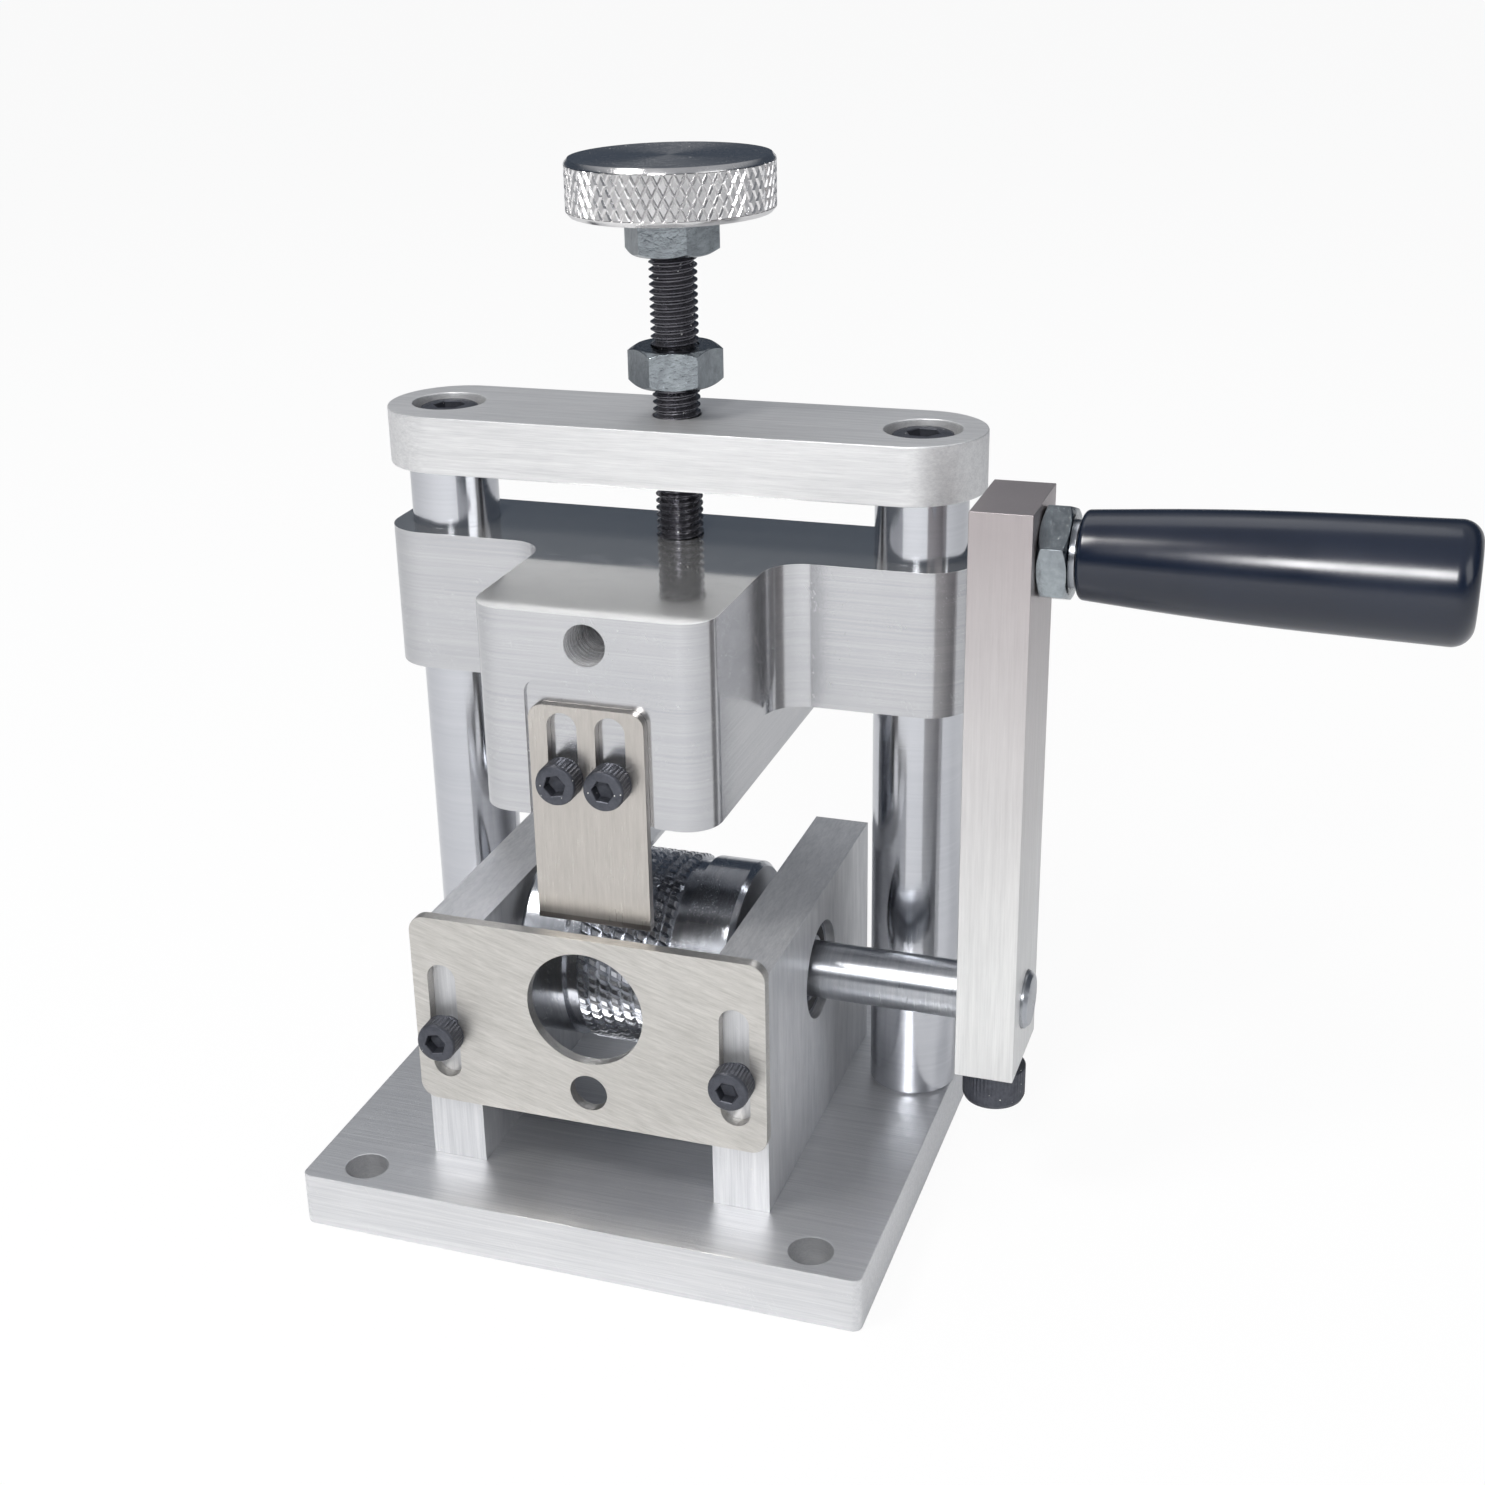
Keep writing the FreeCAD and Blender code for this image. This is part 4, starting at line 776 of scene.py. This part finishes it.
# %% Knurl tree
def make_knurl_tree():
    """Teeth on a cylinder about Z: a count round it, rows a rise apart, each shifted round."""
    tree, given, sockets = geometry_group("Knurl", (
        ("Tooth", "NodeSocketObject"), ("Around", "NodeSocketInt"), ("Rows", "NodeSocketInt"),
        ("Radius", "NodeSocketFloat"), ("Rise", "NodeSocketFloat"),
        ("Shift", "NodeSocketFloat"), ("Finish", "NodeSocketMaterial")))
    around, rows = given["Around"], given["Rows"]
    index, half = tree.nodes.new("GeometryNodeInputIndex").outputs[0], 0.5
    row = math_node(tree, "FLOOR", over(tree, plus(tree, index, half), around))
    column = minus(tree, index, times(tree, row, around))
    steps = plus(tree, column, times(tree, row, given["Shift"]))
    turn = over(tree, times(tree, steps, 2 * math.pi), around)
    middle = over(tree, minus(tree, rows, 1.0), 2.0)
    height = times(tree, minus(tree, row, middle), given["Rise"])
    outward = add(tree, "ShaderNodeCombineXYZ", {
        "X": math_node(tree, "COSINE", turn), "Y": math_node(tree, "SINE", turn)}).outputs[0]
    spot = vector_math(tree, "SCALE", outward)
    tree.links.new(given["Radius"], spot.node.inputs["Scale"])
    lift = add(tree, "ShaderNodeCombineXYZ", {"Z": height}).outputs[0]
    points = add(tree, "GeometryNodePoints", {
        "Count": times(tree, around, rows), "Position": vector_math(tree, "ADD", spot, lift)})
    facing = add(tree, "FunctionNodeAxesToRotation", {
        "Primary Axis": outward, "Secondary Axis": (0.0, 0.0, 1.0)},
        primary_axis="Z", secondary_axis="Y")
    tooth = add(tree, "GeometryNodeObjectInfo", {"Object": given["Tooth"]})
    teeth = add(tree, "GeometryNodeInstanceOnPoints", {
        "Points": points.outputs[0], "Instance": tooth.outputs["Geometry"],
        "Rotation": facing.outputs[0]})
    end_tree(tree, teeth, given["Finish"])
    return tree, sockets


KNURL = make_knurl_tree()


def tooth_object(corners, tip, depth):
    """One tooth: base corners (round, along) in mm, narrowed to a tip share over its depth."""
    work, sunk = bmesh.new(), 0.05
    foot = [work.verts.new((x * MM, y * MM, -sunk * MM)) for x, y in corners]
    crest = [work.verts.new((x * tip * MM, y * tip * MM, depth * MM)) for x, y in corners]
    work.faces.new(crest)
    for number in range(len(corners)):
        after = (number + 1) % len(corners)
        work.faces.new((foot[number], foot[after], crest[after], crest[number]))
    bmesh.ops.recalc_face_normals(work, faces=work.faces)
    return in_scene("tooth", mesh_from(work, "tooth"))


def knurl(name, corners, tip, depth, finish, **sizes):
    """The teeth of a whole band as one plain mesh."""
    tooth = tooth_object(corners, tip, depth)
    carrier = new_object(name, bpy.data.meshes.new(name), finish)
    mesh = grow(carrier, *KNURL, {"Tooth": tooth, "Finish": finish, **sizes}).data
    bpy.data.objects.remove(carrier)
    bpy.data.objects.remove(tooth)
    return mesh


def trimmed(mesh, half):
    """Cut a band of teeth off level at both ends, half a width in mm from its middle."""
    work = bmesh.new()
    work.from_mesh(mesh)
    for side in (-1, 1):
        bmesh.ops.bisect_plane(work, geom=work.verts[:] + work.edges[:] + work.faces[:],
                               plane_co=(0, 0, side * half * MM), plane_no=(0, 0, side),
                               clear_outer=True)
    work.to_mesh(mesh)
    work.free()
    return mesh


# %% [markdown]
# ## Knob
#
# The band is a diamond knurl with its grooves about 27 degrees from the axis, between two plain
# chamfered edges. The flats left between the grooves are wide, so the tip share is large.

# %% Knob
def make_knob():
    """Lengths in mm; a land lies beside the chamfered edge, and ramp is where the knurl starts."""
    low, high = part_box("knob")
    radius, height = (high.x - low.x) / 2 / MM, (high.z - low.z) / MM
    depth, edge, hole, thread = 0.45, 0.8, 4.95, 7.5
    rounding, hair, land, ramp, trim = 0.1, 0.02, 0.25, 0.45, 0.35
    around, rows, lean, flat, clearance = 61, 5, math.radians(27), 0.62, 0.03
    pitch = 2 * math.pi * radius / around
    rise = pitch / 2 / math.tan(lean)
    outline = [(hole, 0), (radius - edge, 0), (radius - rounding, edge),
               (radius - hair, edge + land), (radius - depth, edge + ramp),
               (radius - depth, height - edge - ramp), (radius - hair, height - edge - land),
               (radius - rounding, height - edge), (radius - edge, height), (0, height),
               (0, thread), (hole, thread)]
    place = Matrix.Translation(((low.x + high.x) / 2, (low.y + high.y) / 2, low.z))
    body = finished_mesh(lathe(outline, 4 * around), "knob_body", place)
    teeth = knurl("knob_teeth", [(-pitch / 2, 0), (0, -rise), (pitch / 2, 0), (0, rise)],
                  flat, depth - clearance, knob_knurl_finish, Around=around, Rows=rows,
                  Radius=(radius - depth) * MM, Rise=rise * MM, Shift=0.5)
    trimmed(teeth, height / 2 - edge - trim)
    teeth.transform(place @ Matrix.Translation((0, 0, height / 2 * MM)))
    made = joined("knob_knurled", [body, teeth], [knob_finish, knob_knurl_finish])
    return dress(made, "turned_aluminium", "knob")


print("knob polygons", len(make_knob().data.polygons))

# %% [markdown]
# ## Roller
#
# Its middle band is cut with grooves round it and flutes across it at about 20 degrees, which
# leaves rows of leaning teeth. Relief grooves part the band from the two polished flanges.

# %% Roller
def make_roller():
    """Lengths in mm along the axis are half lengths from the roller's middle."""
    low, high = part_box("roller")
    radius, half = (high.z - low.z) / 2 / MM, (high.x - low.x) / 2 / MM
    bore, hub, flange, chamfer = 6.05, 7.5, 23.3, 1.0
    knurled, relief, groove, depth = 10.0, 3.0, 1.2, 0.75
    outer = [(hub, flange), (radius - chamfer, flange), (radius, flange - chamfer),
             (radius, knurled + relief), (radius - groove, knurled + relief),
             (radius - groove, knurled), (radius - depth, knurled)]
    right = [(bore, half), (hub, half)] + outer
    outline = [(r, -x) for r, x in right] + [(r, x) for r, x in reversed(right)]
    along_x = Matrix.Rotation(math.radians(90), 4, "Y")
    place = Matrix.Translation((0, 0, (low.z + high.z) / 2)) @ along_x
    around, rows, lean, flat = 64, 8, math.radians(20), 0.5
    body = finished_mesh(lathe(outline, 3 * around), "roller_body", place)
    pitch, rise = 2 * math.pi * radius / around, 2 * knurled / rows
    slant = rise * math.tan(lean)
    corners = [(-(pitch + slant) / 2, -rise / 2), ((pitch - slant) / 2, -rise / 2),
               ((pitch + slant) / 2, rise / 2), (-(pitch - slant) / 2, rise / 2)]
    teeth = knurl("roller_teeth", corners, flat, depth, knurl_finish, Around=around, Rows=rows,
                  Radius=(radius - depth) * MM, Rise=rise * MM, Shift=slant / pitch)
    teeth.transform(place)
    made = joined("roller_knurled", [body, teeth], [roller_finish, knurl_finish])
    return dress(made, "ground_steel", "roller")


print("roller polygons", len(make_roller().data.polygons))

# %% [markdown]
# ## Adjusting screw
#
# The thread is one long ribbon: each row of points follows the helix, so that crest and root are
# clean lines. A texture could not give the toothed outline that the screw has against the light.

# %% Threaded rod
def threaded(radius, pitch, low, high, segments):
    """An outside thread about Z between two heights in mm, with a crest, two flanks and a root.

    The profile gives, as shares of the pitch, where the crest and the root start and end.
    """
    root = radius - 0.6 * pitch
    profile = [(0.0, radius), (0.12, radius), (0.48, root), (0.64, root)]
    work, same_place = bmesh.new(), 0.002 * MM
    rows = []
    turns = int((high - low) / pitch) + 2
    for turn in range(-1, turns):
        for share, at in profile:
            row = []
            for step in range(segments + 1):
                angle = 2 * math.pi * step / segments
                height = low + (turn + share + step / segments) * pitch
                level = min(max(height, low), high)
                near_end = min(level - low, high - level)
                here = min(at, root + near_end)
                row.append(work.verts.new((here * MM * math.cos(angle),
                                           here * MM * math.sin(angle), level * MM)))
            rows.append(row)
    for below, above in zip(rows, rows[1:]):
        for step in range(segments):
            work.faces.new((below[step], below[step + 1], above[step + 1], above[step]))
    bmesh.ops.remove_doubles(work, verts=work.verts, dist=same_place)
    bmesh.ops.holes_fill(work, edges=[edge for edge in work.edges if edge.is_boundary], sides=0)
    bmesh.ops.recalc_face_normals(work, faces=work.faces)
    return work


def make_adjusting_screw():
    """The rod on a plain neck, which ends in a button with a chamfer; lengths in mm."""
    low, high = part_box("adjusting_screw")
    centre = Matrix.Translation(((low.x + high.x) / 2, (low.y + high.y) / 2, 0))
    foot, chamfer, button, neck = low.z / MM, 0.8, 4.9, 3.5
    neck_low, neck_top = foot + 1.8, foot + 8.0
    crest, pitch, segments = 4.93, 1.5, 48
    rod = finished_mesh(threaded(crest, pitch, neck_top, high.z / MM, segments), "rod", centre)
    outline = [(0, foot), (button - chamfer, foot), (button, foot + chamfer), (button, neck_low),
               (neck, neck_low), (neck, neck_top), (0, neck_top)]
    tip = finished_mesh(lathe(outline, segments), "tip", centre)
    made = joined("adjusting_screw_threaded", [rod, tip], [thread_finish])
    return dress(made, "black_oxide_steel", "adjusting_screw")


print("screw polygons", len(make_adjusting_screw().data.polygons))

# %% [markdown]
# ## Cap screws
#
# One screw of each size is built from rings with its knurled side, broken rim and hexagon socket,
# and Geometry Nodes set it at each place with its own turn, as screws never line up.

# %% One cap screw
def cap_screw(head, height, socket, depth, shank, length, teeth):
    """A socket head cap screw about Z, head up from 0; every size in mm.

    The head stops a hair above its seat, so that a plate can slide under it.
    """
    segments = 2 * teeth
    work = bmesh.new()
    rings = []

    def ring(radius, z, ridge=0.0, hexagon=False):
        row = []
        for step in range(segments):
            angle = 2 * math.pi * step / segments
            here = radius - (ridge if step % 2 else 0.0)
            if hexagon:
                here = radius / math.cos((angle + math.pi / 6) % (math.pi / 3) - math.pi / 6)
            row.append(work.verts.new((here * MM * math.cos(angle), here * MM * math.sin(angle),
                                       z * MM)))
        rings.append(row)

    rim, under, point, foot, groove = 0.09 * head, 0.02, 0.4, 0.25, 0.16
    chamfer, hair, lead, drill, cone = 0.2, 0.05, 0.15, 0.3, 0.5
    outer, inner = head / 2, socket / 2
    for radius, z in ((shank / 2 - point, -length), (shank / 2, -length + point),
                      (shank / 2, under), (outer - chamfer, under), (outer, foot)):
        ring(radius, z)
    ring(outer, foot + hair, ridge=groove)
    ring(outer, height - rim - 2 * hair, ridge=groove)
    ring(outer - hair, height - rim)
    ring(outer - 0.35 * rim, height - 0.3 * rim)
    ring(outer - rim, height)
    ring(inner + lead, height, hexagon=True)
    ring(inner, height - lead, hexagon=True)
    ring(inner, height - depth, hexagon=True)
    ring(drill, height - depth - cone)
    for below, above in zip(rings, rings[1:]):
        for step in range(segments):
            after = (step + 1) % segments
            work.faces.new((below[step], below[after], above[after], above[step]))
    work.faces.new(list(reversed(rings[0])))
    work.faces.new(rings[-1])
    bmesh.ops.recalc_face_normals(work, faces=work.faces)
    mesh = mesh_from(work, "cap_screw")
    smooth(mesh, math.radians(28))
    return in_scene("cap_screw", mesh)


# %% Screws at their places
def make_setting_tree():
    """Copies of one object on the carrier's points, each turned about its own axis."""
    tree, given, sockets = geometry_group("Set in place", (
        ("Places", "NodeSocketGeometry"), ("Piece", "NodeSocketObject"),
        ("Axis", "NodeSocketVector"), ("Seed", "NodeSocketInt"),
        ("Finish", "NodeSocketMaterial")))
    facing = add(tree, "FunctionNodeAlignRotationToVector", {"Vector": given["Axis"]}, axis="Z")
    spin = add(tree, "FunctionNodeRandomValue", {"Seed": given["Seed"]}, data_type="FLOAT")
    spin.inputs[2].default_value, spin.inputs[3].default_value = 0.0, 1.0
    about = add(tree, "FunctionNodeAxisAngleToRotation", {"Axis": (0.0, 0.0, 1.0),
                                                          "Angle": spin.outputs[1]})
    both = add(tree, "FunctionNodeRotateRotation", {"Rotation": facing.outputs[0],
                                                    "Rotate By": about.outputs[0]},
               rotation_space="LOCAL")
    piece = add(tree, "GeometryNodeObjectInfo", {"Object": given["Piece"]})
    copies = add(tree, "GeometryNodeInstanceOnPoints", {
        "Points": given["Places"], "Instance": piece.outputs["Geometry"],
        "Rotation": both.outputs[0]})
    end_tree(tree, copies, given["Finish"])
    return tree, sockets


SETTING = make_setting_tree()


def screws(node, size, axis, seats):
    """Cap screws for a node: their seats are the points under the heads, in metres."""
    screw = cap_screw(*size)
    mesh = bpy.data.meshes.new(node)
    mesh.from_pydata(seats, [], [])
    made = new_object(f"{node}_knurled", mesh, black_finish)
    grow(made, *SETTING, {"Piece": screw, "Axis": axis, "Seed": SEED, "Finish": black_finish})
    bpy.data.objects.remove(screw)
    return dress(made, "black_oxide_steel", node)


def seats_of(node, head, along, seat):
    """Centres of a node's one, two or four screws, at a height along their axis."""
    low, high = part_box(node)
    reach = head / 2 * MM
    found = [[]]
    for axis in range(3):
        ends = [low[axis] + reach, high[axis] - reach]
        if axis == along:
            ends = [seat]
        elif ends[1] - ends[0] < 1 * MM:
            ends = [sum(ends) / 2]
        found = [spot + [end] for spot in found for end in ends]
    return found


# Head, its height, socket, its depth and the shank in mm, and the teeth round the head.
SMALL, LARGE = (8.5, 5.0, 4.0, 2.5, 5.0, 36), (13.0, 8.0, 6.0, 4.0, 8.0, 48)
Y_AXIS, Z_AXIS, LOW_SIDE, HIGH_SIDE = 1, 2, -1, 1


def make_screws(node, size, along, side):
    """Screws along an axis whose heads face its low or its high side."""
    head, height, socket, depth, shank, teeth = size
    low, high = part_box(node)
    length = (high[along] - low[along]) / MM - height
    seat = low[along] + height * MM if side < 0 else high[along] - height * MM
    axis = [0.0, 0.0, 0.0]
    axis[along] = float(side)
    return screws(node, (head, height, socket, depth, shank, length, teeth), axis,
                  seats_of(node, head, along, seat))


SCREWS = [make_screws(*row) for row in (
    ("baffle_screws", SMALL, Y_AXIS, LOW_SIDE),
    ("restricting_plate_screws", SMALL, Y_AXIS, LOW_SIDE),
    ("side_plate_screws", SMALL, Z_AXIS, LOW_SIDE),
    ("post_base_screws", LARGE, Z_AXIS, LOW_SIDE),
    ("top_bar_screws", LARGE, Z_AXIS, HIGH_SIDE),
    ("crank_clamp_screw", LARGE, Z_AXIS, LOW_SIDE))]
print("screws", {made.name: len(made.data.polygons) for made in SCREWS})

# %% [markdown]
# ## Floor, light and camera
#
# The floor is pale and almost flat white to the camera, so that only a soft shadow shows on it.
# The key light stands high in front on the left, a smaller one in front gives the long highlight
# on the grip, and two weak ones fill in from the right and from behind. Polished tops mirror the
# sky behind them, a dim blue grey band under a brighter overhead.

# %% Floor
WHITE = (1.0, 1.0, 1.0)


def make_floor():
    """White by its glow to the camera, a little in mirrored rays, and else a pale surface."""
    reach, seen, mirrored, pale = 6.0, 0.93, 0.1, (0.86, 0.86, 0.86)
    mesh = bpy.data.meshes.new("floor")
    mesh.from_pydata([(-reach, -reach, 0), (reach, -reach, 0), (reach, reach, 0),
                      (-reach, reach, 0)], [], [(0, 1, 2, 3)])
    made = new_material("floor_white")
    tree, shader = inside(made)
    shader.inputs["Base Color"].default_value = rgba(pale)
    shader.inputs["Roughness"].default_value = 0.9
    glow = add(tree, "ShaderNodeEmission", {"Color": rgba(WHITE), "Strength": 1.0})
    path = tree.nodes.new("ShaderNodeLightPath").outputs
    share = plus(tree, times(tree, path["Is Camera Ray"], seen),
                 times(tree, path["Is Glossy Ray"], mirrored))
    both = add(tree, "ShaderNodeMixShader", {0: share, 1: shader.outputs[0],
                                             2: glow.outputs[0]})
    tree.links.new(both.outputs[0], tree.nodes["Material Output"].inputs["Surface"])
    new_object("floor", mesh, made)


make_floor()


# %% World and lamps
def make_world():
    """White at the horizon, a dim blue grey band above it and a brighter sky overhead."""
    horizon, overhead = (-0.02, 0.03), (0.42, 0.66)
    band, sky = (0.055, 0.068, 0.09), (0.42, 0.43, 0.45)
    world = bpy.data.worlds.new("studio")
    bpy.context.scene.world = world
    world.use_nodes = True
    tree = world.node_tree
    up = add(tree, "ShaderNodeSeparateXYZ", {0: tree.nodes.new("ShaderNodeTexCoord").outputs[
        "Generated"]}).outputs["Z"]
    tone = blend_colour(tree, remap(tree, up, *horizon), rgba(WHITE), rgba(band))
    tone = blend_colour(tree, remap(tree, up, *overhead), tone, rgba(sky))
    seen = tree.nodes.new("ShaderNodeLightPath").outputs["Is Camera Ray"]
    shown = blend_colour(tree, seen, tone, rgba(WHITE))
    tree.links.new(shown, tree.nodes["Background"].inputs["Color"])


def lamp(name, place, target, size, power, colour=WHITE):
    light = bpy.data.lights.new(name, "AREA")
    light.shape, light.size, light.size_y = "RECTANGLE", *size
    light.energy, light.color = power, colour
    made = in_scene(name, light)
    made.location = place
    aim = Vector(target) - Vector(place)
    made.rotation_euler = aim.to_track_quat("-Z", "Y").to_euler()


make_world()
HEART = (0.0, 0.0, 0.1)
lamp("key", (-0.55, -0.68, 1.18), HEART, (0.40, 0.40), 10.5, (1.0, 0.985, 0.96))
lamp("front", (0.08, -1.05, 0.77), (0.13, 0.0, 0.13), (0.26, 0.26), 8.0)
lamp("right", (0.90, -0.35, 0.55), (0.05, 0.0, 0.02), (0.5, 0.5), 1.6)
lamp("top", (-0.25, 0.50, 1.20), HEART, (1.0, 0.6), 2.0, (0.97, 0.98, 1.0))


# %% Camera
def make_camera():
    """The view is 1485 pixels square; the lens and the shift are for a 36 mm sensor."""
    data = bpy.data.cameras.new("view")
    data.sensor_width, data.lens = 36.0, 51.354
    data.shift_x, data.shift_y = 0.04737, 0.00317
    right = Vector((0.93943, 0.34148, -0.02950))
    forward = Vector((-0.32587, 0.86317, -0.38569)).normalized()
    up = right.cross(forward).normalized()
    right = forward.cross(up).normalized()
    made = in_scene("camera", data)
    turn = Matrix((right, up, -forward)).transposed().to_4x4()
    made.matrix_world = Matrix.Translation((0.14887, -0.37992, 0.26542)) @ turn
    bpy.context.scene.camera = made


make_camera()
bpy.context.scene.view_settings.view_transform = "Standard"
